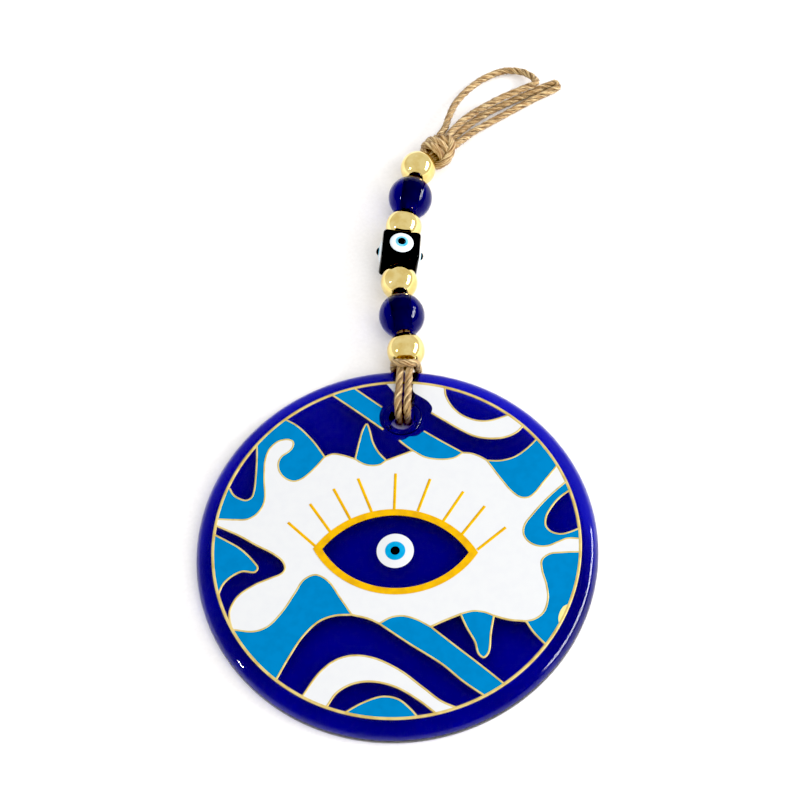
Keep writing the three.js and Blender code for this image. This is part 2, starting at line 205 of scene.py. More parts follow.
@dataclass(frozen=True)
class FiredEnamel:
    """Screen-printed enamel fired onto glass: even, softly glossy, with the screen's faint mottling."""

    name: str
    colour: str
    mottle: str
    roughness: float = 0.28
    metallic: float = 0.0
    mottle_mm: float = 2.4
    orange_peel_mm: float = 0.35
    gloss: float = 0.06

    def make(self) -> bpy.types.Material:
        """Returns the enamel: two close tones in soft patches, and an orange-peel bump."""
        material, tree, output = blank_material(self.name)
        place = add_node(tree, "TexCoord")
        patches = add_node(
            tree,
            "TexNoise",
            inputs={"Vector": place.outputs["Object"], "Scale": 1 / (self.mottle_mm * MM), "Detail": 4.0},
        )
        tones = add_node(tree, "ValToRGB", inputs={"Fac": patches.outputs["Fac"]})
        set_ramp(tones, [(0.35, self.mottle), (0.6, self.colour)])
        peel = add_node(
            tree,
            "TexNoise",
            inputs={
                "Vector": place.outputs["Object"],
                "Scale": 1 / (self.orange_peel_mm * MM),
                "Detail": 2.0,
            },
        )
        bump = add_node(
            tree,
            "Bump",
            inputs={"Height": peel.outputs["Fac"], "Strength": 0.25, "Distance": 0.02 * MM},
        )
        surface = add_node(
            tree,
            "BsdfPrincipled",
            inputs={
                "Base Color": tones.outputs["Color"],
                "Metallic": self.metallic,
                "Roughness": self.roughness,
                "Specular IOR Level": self.gloss,
                "Normal": bump.outputs["Normal"],
            },
        )
        tree.links.new(surface.outputs["BSDF"], output.inputs["Surface"])
        return material


@dataclass(frozen=True)
class PlatedGold:
    """Gold plating over a polished bead: a mirror with slightly uneven polish."""

    name: str = "gold_plated_bead"
    colour: str = "#F0DB98"
    worn: str = "#E4C87E"
    roughness: float = 0.05
    polish_mm: float = 3.0

    def make(self) -> bpy.types.Material:
        """Returns the plating: warm where thick, paler where polished thin, faintly dented."""
        material, tree, output = blank_material(self.name)
        place = add_node(tree, "TexCoord")
        polish = add_node(
            tree,
            "TexNoise",
            inputs={"Vector": place.outputs["Object"], "Scale": 1 / (self.polish_mm * MM), "Detail": 3.0},
        )
        tones = add_node(tree, "ValToRGB", inputs={"Fac": polish.outputs["Fac"]})
        set_ramp(tones, [(0.35, self.worn), (0.6, self.colour)])
        bump = add_node(
            tree,
            "Bump",
            inputs={"Height": polish.outputs["Fac"], "Strength": 0.35, "Distance": 0.12 * MM},
        )
        surface = add_node(
            tree,
            "BsdfPrincipled",
            inputs={
                "Base Color": tones.outputs["Color"],
                "Metallic": 1.0,
                "Roughness": self.roughness,
                "Normal": bump.outputs["Normal"],
            },
        )
        tree.links.new(surface.outputs["BSDF"], output.inputs["Surface"])
        return material


@dataclass(frozen=True)
class LampworkGlass:
    """Opaque lampwork glass: a deep, wet gloss over one colour with a faint swirl of the rod."""

    name: str
    colour: str
    swirl: str
    roughness: float = 0.06
    gloss: float = 0.3
    swirl_mm: float = 3.2

    def make(self) -> bpy.types.Material:
        """Returns the glass: an opaque body with drawn-out swirls under a clear melt."""
        material, tree, output = blank_material(self.name)
        place = add_node(tree, "TexCoord")
        swirl = add_node(
            tree,
            "TexNoise",
            inputs={
                "Vector": place.outputs["Object"],
                "Scale": 1 / (self.swirl_mm * MM),
                "Detail": 2.0,
                "Distortion": 1.5,
            },
        )
        tones = add_node(tree, "ValToRGB", inputs={"Fac": swirl.outputs["Fac"]})
        set_ramp(tones, [(0.4, self.swirl), (0.62, self.colour)])
        bump = add_node(
            tree,
            "Bump",
            inputs={"Height": swirl.outputs["Fac"], "Strength": 0.2, "Distance": 0.1 * MM},
        )
        surface = add_node(
            tree,
            "BsdfPrincipled",
            inputs={
                "Base Color": tones.outputs["Color"],
                "Roughness": self.roughness,
                "Specular IOR Level": self.gloss,
                "Normal": bump.outputs["Normal"],
            },
        )
        tree.links.new(surface.outputs["BSDF"], output.inputs["Surface"])
        return material


@dataclass(frozen=True)
class JuteTwine:
    """Three-ply jute, laid and lightly waxed: straw-coloured crowns, brown painted shade in the grooves, fine
    fibres.
    """

    name: str = "laid_jute_twine"
    straw: str = "#DCC696"
    body: str = "#A07A49"
    shade: str = "#5C3C1C"
    # Painted shade in the grooves between plies.
    groove_shade: str = "#4E3014"
    fibre_mm: float = 0.34
    streak_mm: float = 4.5

    def make(self) -> bpy.types.Material:
        """Returns the twine: streaks along each ply, painted shade where the plies meet, fibre bump."""
        material, tree, output = blank_material(self.name)
        place = add_node(tree, "UVMap", {"uv_map": TWINE_UV})
        stretch = add_node(
            tree,
            "Mapping",
            inputs={"Vector": place.outputs["UV"], "Scale": (1 / self.fibre_mm, 1 / self.streak_mm, 1.0)},
        )
        fibres = add_node(
            tree, "TexNoise", inputs={"Vector": stretch.outputs["Vector"], "Scale": 1.0, "Detail": 4.0}
        )
        tones = add_node(tree, "ValToRGB", inputs={"Fac": fibres.outputs["Fac"]})
        set_ramp(tones, [(0.34, self.shade), (0.47, self.body), (0.62, self.straw)])
        # Painted shade: the colour darkens towards the grooves between plies, following the mask laid on the
        # mesh.
        crown_for_groove_shade = add_node(tree, "Attribute", {"attribute_name": GROOVE_SHADE_MASK})
        depth = add_node(tree, "ValToRGB", inputs={"Fac": crown_for_groove_shade.outputs["Fac"]})
        set_ramp(depth, [(0.3, self.groove_shade), (0.72, "#FFFFFF")])
        colour = add_node(
            tree,
            "Mix",
            {"data_type": "RGBA", "blend_type": "MULTIPLY"},
            {0: 1.0, 6: tones.outputs["Color"], 7: depth.outputs["Color"]},
        )
        bump = add_node(
            tree,
            "Bump",
            inputs={"Height": fibres.outputs["Fac"], "Strength": 0.7, "Distance": 0.12 * MM},
        )
        surface = add_node(
            tree,
            "BsdfPrincipled",
            inputs={
                "Base Color": colour.outputs[2],
                "Roughness": 0.72,
                "Sheen Weight": 0.25,
                "Normal": bump.outputs["Normal"],
            },
        )
        tree.links.new(surface.outputs["BSDF"], output.inputs["Surface"])
        return material


class Finish(Enum):
    """The ornament's finishes, each made once."""

    # Glass coloured right through: bright blue where thin or lit from behind, near black where deep.
    DISC_GLASS = CobaltGlass("cast_cobalt_glass", "#0408F1", 760.0, ripple_mm=14.0, ripple_depth_mm=0.2)
    BEAD_GLASS = CobaltGlass(
        "pressed_cobalt_bead_glass", "#0A0AEB", 850.0, ripple_mm=5.0, ripple_depth_mm=0.05, ior=1.34
    )
    # Fired enamels: flat, even colour with a low sheen, which hides the glass under it.
    WHITE_ENAMEL = FiredEnamel("white_fired_enamel", "#CBCCCD", "#C9CACC")
    CREAM_ENAMEL = FiredEnamel("cream_fired_enamel", "#D8CC8C", "#D2C17C")
    TURQUOISE_ENAMEL = FiredEnamel("turquoise_fired_enamel", "#0775AB", "#0671A5")
    SKY_ENAMEL = FiredEnamel("sky_fired_enamel", "#2793C3", "#2289B8")
    BLACK_ENAMEL = FiredEnamel("black_fired_enamel", "#06060E", "#0A0A16")
    # Fired gold liner: a raised line, more yellow paint than mirror.
    OUTLINE_GOLD = FiredEnamel("pale_gold_liner", "#CDB878", "#BAA15E", roughness=0.34, metallic=0.25)
    EYE_GOLD = FiredEnamel("bright_gold_liner", "#DAAA28", "#C9992A", roughness=0.32, metallic=0.2)
    # Plating: a warm mirror that takes the dark of its neighbours.
    GOLD_PLATE = PlatedGold()
    # Opaque lampwork glass: solid colour under small sharp highlights, save for the dull painted shade on the
    # bore wall.
    BLACK_GLASS = LampworkGlass("black_lampwork_glass", "#010102", "#020203", gloss=0.1)
    # Painted shade: the dark inside of the cobalt beads' bore, seen through the glass.
    BORE_SHADE = LampworkGlass("painted_bore_shade", "#1C1C7C", "#181868", roughness=0.7, gloss=0.0)
    WHITE_GLASS = LampworkGlass("white_lampwork_glass", "#DDDEE0", "#CFD9E0", roughness=0.12)
    SKY_GLASS = LampworkGlass("sky_lampwork_glass", "#40A8CC", "#6FBCD4", roughness=0.1)
    # Jute: pale crowns, painted brown shade in the grooves and a soft edge of fibres.
    TWINE = JuteTwine()


class Paintbox:
    """Makes each finish's material the first time it is asked for."""

    def __init__(self) -> None:
        """Starts with nothing made."""
        self._made: dict[Finish, bpy.types.Material] = {}

    def dress(self, piece: bpy.types.Object, finish: Finish) -> None:
        """Gives a piece its material.

        Args:
            piece: the piece.
            finish: its finish.
        """
        piece.data.materials.clear()
        piece.data.materials.append(self.material(finish))

    def material(self, finish: Finish) -> bpy.types.Material:
        """Returns a finish's material, made once."""
        if finish not in self._made:
            self._made[finish] = finish.value.make()
        return self._made[finish]


# ---- Modelling tools ---------------------------------------------------------------------------------


def deselect_all() -> None:
    """Leaves nothing selected and nothing active."""
    bpy.ops.object.select_all(action="DESELECT")
    bpy.context.view_layer.objects.active = None


def activate(*pieces: bpy.types.Object) -> None:
    """Selects only these pieces, the first of them active."""
    deselect_all()
    for piece in pieces:
        piece.select_set(True)
    bpy.context.view_layer.objects.active = pieces[0]


def take_primitive(name: str) -> bpy.types.Object:
    """Names the primitive that was just added, with its place applied to its mesh.

    Args:
        name: the piece's name.

    Returns:
        The piece.
    """
    piece = bpy.context.active_object
    piece.name = name
    piece.data.name = name
    bpy.ops.object.transform_apply(location=True, rotation=True, scale=True)
    return piece


@contextmanager
def editing(piece: bpy.types.Object) -> Iterator[bmesh.types.BMesh]:
    """Opens a piece in edit mode with nothing selected, and closes it again.

    Args:
        piece: the piece.

    Yields:
        Its edit mesh, for choosing what the operators act on.
    """
    activate(piece)
    bpy.ops.object.mode_set(mode="EDIT")
    bpy.ops.mesh.select_mode(type="EDGE")
    bpy.ops.mesh.select_all(action="DESELECT")
    yield bmesh.from_edit_mesh(piece.data)
    bpy.ops.object.mode_set(mode="OBJECT")


def choose_edges(piece: bpy.types.Object, mesh: bmesh.types.BMesh, test: EdgeTest) -> None:
    """Selects the edges that pass a test.

    Args:
        piece: the piece in edit mode.
        mesh: its edit mesh.
        test: tells which edges are wanted.
    """
    for edge in mesh.edges:
        edge.select_set(test(edge))
    bmesh.update_edit_mesh(piece.data)


def round_edges(piece: bpy.types.Object, test: EdgeTest, radius: float, segments: int) -> None:
    """Bevels the chosen edges to a round.

    Args:
        piece: the piece.
        test: tells which edges are rounded.
        radius: the round's size in metres.
        segments: facets across it.
    """
    with editing(piece) as mesh:
        choose_edges(piece, mesh, test)
        bpy.ops.mesh.bevel(offset=radius, segments=segments, profile=0.5, affect="EDGES", clamp_overlap=True)


def both_at_height(height: float) -> EdgeTest:
    """Returns a test for edges that lie at one height."""
    return lambda edge: all(abs(corner.co.z - height) < 1e-6 for corner in edge.verts)


def apply_modifier(piece: bpy.types.Object, kind: str, **settings: object) -> None:
    """Adds a modifier with its settings and applies it.

    Args:
        piece: the piece.
        kind: the modifier's type.
        settings: its properties.
    """
    activate(piece)
    modifier = piece.modifiers.new(kind.lower(), kind)
    for name, value in settings.items():
        setattr(modifier, name, value)
    bpy.ops.object.modifier_apply(modifier=modifier.name)


def carve(piece: bpy.types.Object, tool: bpy.types.Object, operation: str) -> None:
    """Joins or cuts a piece with another, which is used up.

    Args:
        piece: the piece that stays.
        tool: the piece that is used up.
        operation: UNION or DIFFERENCE.
    """
    apply_modifier(piece, "BOOLEAN", operation=operation, object=tool, solver="EXACT")
    bpy.data.objects.remove(tool)


def close_and_turn_out(piece: bpy.types.Object) -> None:
    """Merges doubled corners and turns every face outwards."""
    with editing(piece):
        bpy.ops.mesh.select_all(action="SELECT")
        bpy.ops.mesh.remove_doubles(threshold=1e-6)
        bpy.ops.mesh.normals_make_consistent(inside=False)


def smooth(piece: bpy.types.Object, degrees: float = 32.0) -> None:
    """Shades a piece smooth up to a crease angle."""
    activate(piece)
    bpy.ops.object.shade_smooth_by_angle(angle=math.radians(degrees))


def place_in_mesh(piece: bpy.types.Object, matrix: Matrix) -> None:
    """Moves a finished piece to its seat and applies that to its mesh.

    Args:
        piece: the piece, modelled about the origin.
        matrix: its seat in the ornament.
    """
    activate(piece)
    piece.matrix_world = matrix
    bpy.ops.object.transform_apply(location=True, rotation=True, scale=True)


def copy_piece(piece: bpy.types.Object, name: str) -> bpy.types.Object:
    """Copies a piece with a mesh of its own.

    Args:
        piece: the pattern.
        name: the copy's name.

    Returns:
        The copy.
    """
    twin = piece.copy()
    twin.data = piece.data.copy()
    twin.name = name
    twin.data.name = name
    bpy.context.scene.collection.objects.link(twin)
    return twin


def settle(piece: bpy.types.Object, body: str, *nodes: str) -> None:
    """Puts a piece on its body and lets it stand for CAD nodes.

    Args:
        piece: the finished piece.
        body: the body it rides on.
        nodes: the CAD nodes it replaces, if any.
    """
    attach(piece, body)
    if nodes:
        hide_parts(*nodes)
    LOG.info("%s: %d faces on %s", piece.name, len(piece.data.polygons), body)


# ---- Curves ------------------------------------------------------------------------------------------


def smooth_route(points: Sequence[Vector], spacing: float) -> list[Vector]:
    """Follows points with a centripetal Catmull-Rom curve.

    Args:
        points: the points to pass through.
        spacing: the wanted distance between samples.

    Returns:
        Samples from the first point to the last.
    """
    ends = [2 * points[0] - points[1], *points, 2 * points[-1] - points[-2]]
    samples = [points[0].copy()]
    for before, start, stop, after in zip(ends, ends[1:], ends[2:], ends[3:]):
        knots = [0.0]
        for a, b in ((before, start), (start, stop), (stop, after)):
            knots.append(knots[-1] + max(math.sqrt((b - a).length), 1e-7))
        steps = max(1, round((stop - start).length / spacing))
        for i in range(1, steps + 1):
            t = knots[1] + (knots[2] - knots[1]) * i / steps
            corners = [before, start, stop, after]
            for level in (1, 2, 3):
                corners = [
                    blend_between(corners[j], corners[j + 1], t, *blend_span(knots, j, level))
                    for j in range(len(corners) - 1)
                ]
            samples.append(corners[0])
    return samples


def blend_span(knots: Sequence[float], index: int, level: int) -> tuple[float, float]:
    """Returns the knot span that one blend of a Catmull-Rom curve runs over."""
    if level == 1:
        return knots[index], knots[index + 1]
    if level == 2:
        return knots[index], knots[index + 2]
    return knots[1], knots[2]


def blend_between(a: Vector, b: Vector, t: float, low: float, high: float) -> Vector:
    """Returns the point between a and b at t in the span from low to high."""
    return a + (b - a) * ((t - low) / (high - low))


# ---- Twine -------------------------------------------------------------------------------------------


class TwineMesh:
    """A twine's mesh while it is built, with the layers that its finish reads, one of them the mask of its
    painted groove shade.
    """

    def __init__(self) -> None:
        """Starts empty."""
        self.mesh = bmesh.new()
        self.uv_layer = self.mesh.loops.layers.uv.new(TWINE_UV)
        self.groove_shade_layer = self.mesh.verts.layers.float.new(GROOVE_SHADE_MASK)

    def finished(self, name: str) -> bpy.types.Object:
        """Turns what was built into a smooth piece.

        Args:
            name: the piece's name.

        Returns:
            The piece.
        """
        data = bpy.data.meshes.new(name)
        self.mesh.to_mesh(data)
        self.mesh.free()
        for polygon in data.polygons:
            polygon.use_smooth = True
        piece = bpy.data.objects.new(name, data)
        bpy.context.scene.collection.objects.link(piece)
        return piece


@dataclass
class Twine:
    """Three plies laid round each other, with the fibres that stand out of them."""

    pitch: float = 9.5 * MM
    ply_share: float = 0.6
    ply_sides: int = 22
    step: float = 0.32 * MM
    fibre_grooves: int = 7
    groove_depth: float = 0.11
    unevenness: float = 0.16
    wander_length: float = 4.1 * MM
    fullness_length: float = 1.7 * MM
    # Below this share of the radius a ply's surface gets the full painted groove shade.
    groove_shade_floor: float = 0.45
    hairs_per_mm: float = 8.0
    hair_length: float = 2.0 * MM
    lying_per_mm: float = 14.0
    lying_length: float = 3.6 * MM
    hair_radius: float = 0.045 * MM

    def lay(
        self, name: str, points: Sequence[Vector], radius: float, seed: int
    ) -> tuple[bpy.types.Object, list[Vector]]:
        """Lays a twine along points.

        Args:
            name: the piece's name.
            points: the points it passes through.
            radius: the twine's radius.
            seed: fixes where its loose fibres stand.

        Returns:
            The twine and the line that it follows.
        """
        route = smooth_route(points, self.step)
        frames = carried_frames(route)
        growing = TwineMesh()
        for ply in range(3):
            self._wind_ply(growing, frames, radius, ply, seed)
        self._add_hairs(growing, frames, radius, seed)
        return growing.finished(name), route

    def _wind_ply(
        self, growing: TwineMesh, frames: Sequence[RouteFrame], radius: float, ply: int, seed: int
    ) -> None:
        """Winds one ply as a grooved tube on a helix.

        Its UV runs in millimetres across and along. How far a point is out of the grooves, which sets the
        painted shade, is 0 in the groove between plies and 1 on the twine's outside.

        Args:
            growing: the twine that it is added to.
            frames: the route's frames.
            radius: the twine's radius.
            ply: which of the three it is.
            seed: shifts the streaks, so that no two twines match.
        """
        mesh, uv_layer, groove_shade_layer = growing.mesh, growing.uv_layer, growing.groove_shade_layer
        ply_radius = self.ply_share * radius
        helix_radius = radius - ply_radius
        rings = []
        for point, side, up, ahead, distance in frames:
            wander = noise.noise(Vector((distance / self.wander_length, 3.7 * seed, 1.9 * ply)))
            fullness = noise.noise(Vector((distance / self.fullness_length, 5.1 * seed, 7.3 * ply)))
            turn = 2 * math.pi * (distance / self.pitch + ply / 3) + 0.7 * seed + 0.5 * wander
            out = side * math.cos(turn) + up * math.sin(turn)
            around = ahead.cross(out)
            centre = point + out * (helix_radius * (1 + 0.5 * self.unevenness * wander))
            ring = []
            for i in range(self.ply_sides):
                angle = 2 * math.pi * i / self.ply_sides
                twist = self.fibre_grooves * angle + 1.1 * distance / MM
                relief = self.groove_depth * math.sin(twist) + self.unevenness * fullness
                swell = ply_radius * (1 + relief)
                corner = mesh.verts.new(
                    centre + out * (math.cos(angle) * swell) + around * (math.sin(angle) * swell)
                )
                # Painted shade mask: how far this corner stands out of the grooves.
                height = (corner.co - point).length / radius
                crown_for_groove_shade = (height - self.groove_shade_floor) / (1 - self.groove_shade_floor)
                corner[groove_shade_layer] = min(1.0, max(0.0, crown_for_groove_shade))
                ring.append(corner)
            rings.append((ring, distance))
        girth = 2 * math.pi * ply_radius / MM
        for (low, low_at), (high, high_at) in zip(rings, rings[1:]):
            for i in range(self.ply_sides):
                j = (i + 1) % self.ply_sides
                face = mesh.faces.new((low[i], low[j], high[j], high[i]))
                near, far = i / self.ply_sides * girth, (i + 1) / self.ply_sides * girth
                corners = ((near, low_at), (far, low_at), (far, high_at), (near, high_at))
                for loop, (u, v) in zip(face.loops, corners):
                    loop[uv_layer].uv = (u + 5.3 * ply, v / MM + 17.0 * seed)
        mesh.faces.new(list(reversed(rings[0][0])))
        mesh.faces.new(rings[-1][0])

    def _add_hairs(
        self, growing: TwineMesh, frames: Sequence[RouteFrame], radius: float, seed: int
    ) -> None:
        """Adds the loose fibres: those that lie along the twine first, then those that stand out of it.

        Args:
            growing: the twine that they are added to.
            frames: the route's frames.
            radius: the twine's radius.
            seed: fixes where they stand.
        """
        chance = random.Random(seed)
        total = frames[-1][4]
        for _ in range(round(self.lying_per_mm * total / MM)):
            point, side, up, ahead, _ = frames[chance.randrange(len(frames))]
            angle = chance.uniform(0, 2 * math.pi)
            out = side * math.cos(angle) + up * math.sin(angle)
            half = 0.5 * self.lying_length * chance.uniform(0.5, 1.0)
            lean = (ahead + ahead.cross(out) * chance.uniform(-0.2, 0.9)).normalized()
            middle = point + out * (radius * chance.uniform(0.92, 1.04))
            root = middle - lean * half - out * (0.25 * radius)
            tip = middle + lean * half - out * (radius * chance.uniform(-0.1, 0.2))
            self._add_hair(growing, (root, middle, tip), chance.uniform(0, 40))
        for _ in range(round(self.hairs_per_mm * total / MM)):
            point, side, up, ahead, _ = frames[chance.randrange(len(frames))]
            angle = chance.uniform(0, 2 * math.pi)
            out = side * math.cos(angle) + up * math.sin(angle)
            length = self.hair_length * chance.uniform(0.35, 1.0)
            lean = ahead * chance.uniform(-1.4, 1.4) + ahead.cross(out) * chance.uniform(-1.0, 1.0)
            root = point + out * (0.86 * radius)
            middle = root + (out * 0.35 + lean * 0.4) * (0.55 * length)
            tip = middle + (out * 0.3 + lean * 0.55) * (0.5 * length)
            self._add_hair(growing, (root, middle, tip), chance.uniform(0, 40))

    def _add_hair(
        self, growing: TwineMesh, line: tuple[Vector, Vector, Vector], place: float
    ) -> None:
        """Adds one three-sided fibre that tapers to a point, clear of the painted groove shade, so that it
        stays pale.

        Args:
            growing: the twine that it is added to.
            line: its root, middle and tip.
            place: where in the streaks it takes its tone.
        """
        mesh = growing.mesh
        root, middle, tip = line
        ahead = (tip - root).normalized()
        side = ahead.orthogonal().normalized()
        up = ahead.cross(side)
        corners = []
        for centre, size in ((root, self.hair_radius), (middle, 0.75 * self.hair_radius)):
            for i in range(3):
                turn = 2 * math.pi * i / 3
                corners.append(mesh.verts.new(centre + (side * math.cos(turn) + up * math.sin(turn)) * size))
        end = mesh.verts.new(tip)
        faces = [mesh.faces.new((corners[2], corners[1], corners[0]))]
        for i in range(3):
            j = (i + 1) % 3
            faces.append(mesh.faces.new((corners[i], corners[j], corners[3 + j], corners[3 + i])))
            faces.append(mesh.faces.new((corners[3 + i], corners[3 + j], end)))
        # Fibres stay clear of the painted groove shade.
        for corner in (*corners, end):
            corner[growing.groove_shade_layer] = 1.0
        for face in faces:
            for loop in face.loops:
                loop[growing.uv_layer].uv = (place, place)


def carried_frames(route: Sequence[Vector]) -> list[RouteFrame]:
    """Carries a side and an up direction along a route without twist.

    Args:
        route: the route's points.

    Returns:
        For each point: itself, its side, up and forward directions, and its distance from the start.
    """
    frames = []
    distance = 0.0
    side = None
    for i, point in enumerate(route):
        ahead = (route[min(i + 1, len(route) - 1)] - route[max(i - 1, 0)]).normalized()
        side = ahead.orthogonal() if side is None else side - ahead * side.dot(ahead)
        side.normalize()
        if i:
            distance += (point - route[i - 1]).length
        frames.append((point, side.copy(), ahead.cross(side), ahead, distance))
    return frames


# ---- Where things lie --------------------------------------------------------------------------------


@dataclass(frozen=True)
class Table:
    """The surface the ornament lies on, which slopes a little under the disc."""

    disc_foot_y: float = -53.7 * MM
    slope: float = 2.3 / 108.7

    def height(self, y: float) -> float:
        """Returns the table's height at y."""
        return -(y - self.disc_foot_y) * self.slope

    def over(self, point: Point) -> Vector:
        """Returns a point given in millimetres, its last number a height over the table."""
        x, y, above = (value * MM for value in point)
        return Vector((x, y, self.height(y) + above))


@dataclass(frozen=True)
class Seat:
    """Where a bead sits: its middle and its bore's direction, with X to the side and -Y up."""

    centre: Vector
    along: Vector

    @property
    def side(self) -> Vector:
        """The level direction across the bore."""
        return Vector((self.along.y, -self.along.x, 0)).normalized()

    @property
    def up(self) -> Vector:
        """The direction out of the table, square to the bore."""
        return self.side.cross(self.along)

    def matrix(self, spin: float = 0.0) -> Matrix:
        """Returns the seat's matrix, turned by spin about the bore."""
        side = self.side * math.cos(spin) - self.up * math.sin(spin)
        up = self.side * math.sin(spin) + self.up * math.cos(spin)
        columns = Matrix((side, -up, self.along)).transposed().to_4x4()
        return Matrix.Translation(self.centre) @ columns


def bead_seat(bead: str) -> Seat:
    """Finds a bead's seat from its joint.

    Args:
        bead: the bead's node, which is also its body.

    Returns:
        Its seat.
    """
    joint = next(joint for joint in frame["joints"] if joint["child"] == bead)
    return Seat(Vector(joint["pos_m"]), Vector(joint["axis"]).normalized())


TABLE = Table()


# ---- Studio ------------------------------------------------------------------------------------------


@dataclass(frozen=True)
class SoftBox:
    """A rectangular lamp aimed at the middle of the ornament."""

    name: str
    direction: Point
    distance: float
    width: float
    height: float
    watts: float
    colour: str = "#FFFFFF"
    reflected: bool = True

    def hang(self, target: Vector) -> None:
        """Hangs the lamp.

        Args:
            target: what it is aimed at.
        """
        lamp = bpy.data.lights.new(self.name, "AREA")
        lamp.shape = "RECTANGLE"
        lamp.size = self.width
        lamp.size_y = self.height
        lamp.energy = self.watts
        lamp.color = linear(self.colour)[:3]
        holder = bpy.data.objects.new(self.name, lamp)
        bpy.context.scene.collection.objects.link(holder)
        way = Vector(self.direction).normalized()
        holder.location = target + way * self.distance
        holder.rotation_euler = way.to_track_quat("Z", "Y").to_euler()
        holder.visible_glossy = self.reflected


@dataclass
class Studio:
    """A pale table, soft lamps and the camera."""

    table_span: float = 4.0
    board_grain: float = 900.0
    target: Vector = field(default_factory=lambda: Vector((0.0, 0.03, 0.0)))
    camera_place: Point = (28.8, -165.7, 363.0)
    azimuth: float = 8.08
    elevation: float = 59.35
    roll: float = -6.05
    lens: float = 65.14
    black_point: float = 0.03
    ambient: str = "#FFFFFF"
    ambient_strength: float = 0.88
    lamps: tuple[SoftBox, ...] = (
        SoftBox("window_lamp", (0.86, 0.04, 0.42), 1.0, 0.95, 0.24, 10.7),
        SoftBox("side_lamp", (-0.80, -0.30, 0.52), 1.0, 0.05, 0.13, 1.4),
        SoftBox("overhead_lamp", (0.55, -0.55, 0.95), 1.3, 0.7, 0.7, 4.6, reflected=False),
    )

    def set_camera(self) -> None:
        """Sets the camera at its place, looking down at the ornament."""
        azimuth, elevation, roll = (math.radians(a) for a in (self.azimuth, self.elevation, self.roll))
        ahead = Vector(
            (
                -math.sin(azimuth) * math.cos(elevation),
                math.cos(azimuth) * math.cos(elevation),
                -math.sin(elevation),
            )
        )
        level = Vector((math.cos(azimuth), math.sin(azimuth), 0))
        upright = level.cross(ahead)
        right = level * math.cos(roll) + upright * math.sin(roll)
        up = upright * math.cos(roll) - level * math.sin(roll)
        lens = bpy.data.cameras.new("camera")
        lens.lens = self.lens
        lens.sensor_width = 36.0
        lens.clip_start = 0.01
        camera = bpy.data.objects.new("camera", lens)
        bpy.context.scene.collection.objects.link(camera)
        turn = Matrix((right, up, -ahead)).transposed().to_4x4()
        camera.matrix_world = Matrix.Translation(Vector(self.camera_place) * MM) @ turn
        bpy.context.scene.camera = camera
        view = bpy.context.scene.view_settings
        view.view_transform = "Standard"
        view.use_curve_mapping = True
        view.curve_mapping.black_level = (self.black_point,) * 3

    def lay_table(self) -> None:
        """Lays the pale table under the ornament."""
        deselect_all()
        bpy.ops.mesh.primitive_plane_add(size=self.table_span)
        table = take_primitive("table_top")
        tilt = Matrix.Rotation(-math.atan(TABLE.slope), 4, "X")
        place_in_mesh(table, Matrix.Translation((0, TABLE.disc_foot_y, 0)) @ tilt)
        # Matt white board: no gloss, only a faint grain, so that it takes soft shadows and nothing else.
        material, tree, output = blank_material("matt_white_board")
        place = add_node(tree, "TexCoord")
        grain = add_node(
            tree, "TexNoise", inputs={"Vector": place.outputs["Object"], "Scale": self.board_grain}
        )
        tones = add_node(tree, "ValToRGB", inputs={"Fac": grain.outputs["Fac"]})
        set_ramp(tones, [(0.3, "#FAF8F7"), (0.7, "#FFFDFC")])
        surface = add_node(
            tree,
            "BsdfPrincipled",
            inputs={"Base Color": tones.outputs["Color"], "Roughness": 0.9, "Specular IOR Level": 0.2},
        )
        tree.links.new(surface.outputs["BSDF"], output.inputs["Surface"])
        table.data.materials.append(material)

    def light(self) -> None:
        """Hangs the lamps and sets the even light of a white room."""
        for lamp in self.lamps:
            lamp.hang(self.target)
        world = bpy.data.worlds.new("white_room")
        world.use_nodes = True
        tree = world.node_tree
        background = tree.nodes["Background"]
        background.inputs["Color"].default_value = linear(self.ambient)
        background.inputs["Strength"].default_value = self.ambient_strength
        bpy.context.scene.world = world


# ---- Knot and hanging loops --------------------------------------------------------------------------


@dataclass
class KnotPlace:
    """The knot's middle and the direction in which its strands leave it."""

    heading: float = math.radians(34)
    reach: float = 5.2 * MM

    @property
    def centre(self) -> Vector:
        """The middle of the knot."""
        return TABLE.over(KNOT_MIDDLE)

    @property
    def seat(self) -> Seat:
        """The knot's seat, its bore direction along the strands."""
        fall = math.atan(TABLE.slope)
        level = math.cos(fall)
        along = Vector((math.sin(self.heading) * level, math.cos(self.heading) * level, -math.sin(fall)))
        return Seat(self.centre, along)

    def exit(self, across: float, above: float) -> Vector:
        """Returns where a strand leaves the knot, in millimetres across and above its axis."""
        seat = self.seat
        return seat.centre + seat.side * (across * MM) + seat.up * (above * MM) + seat.along * self.reach


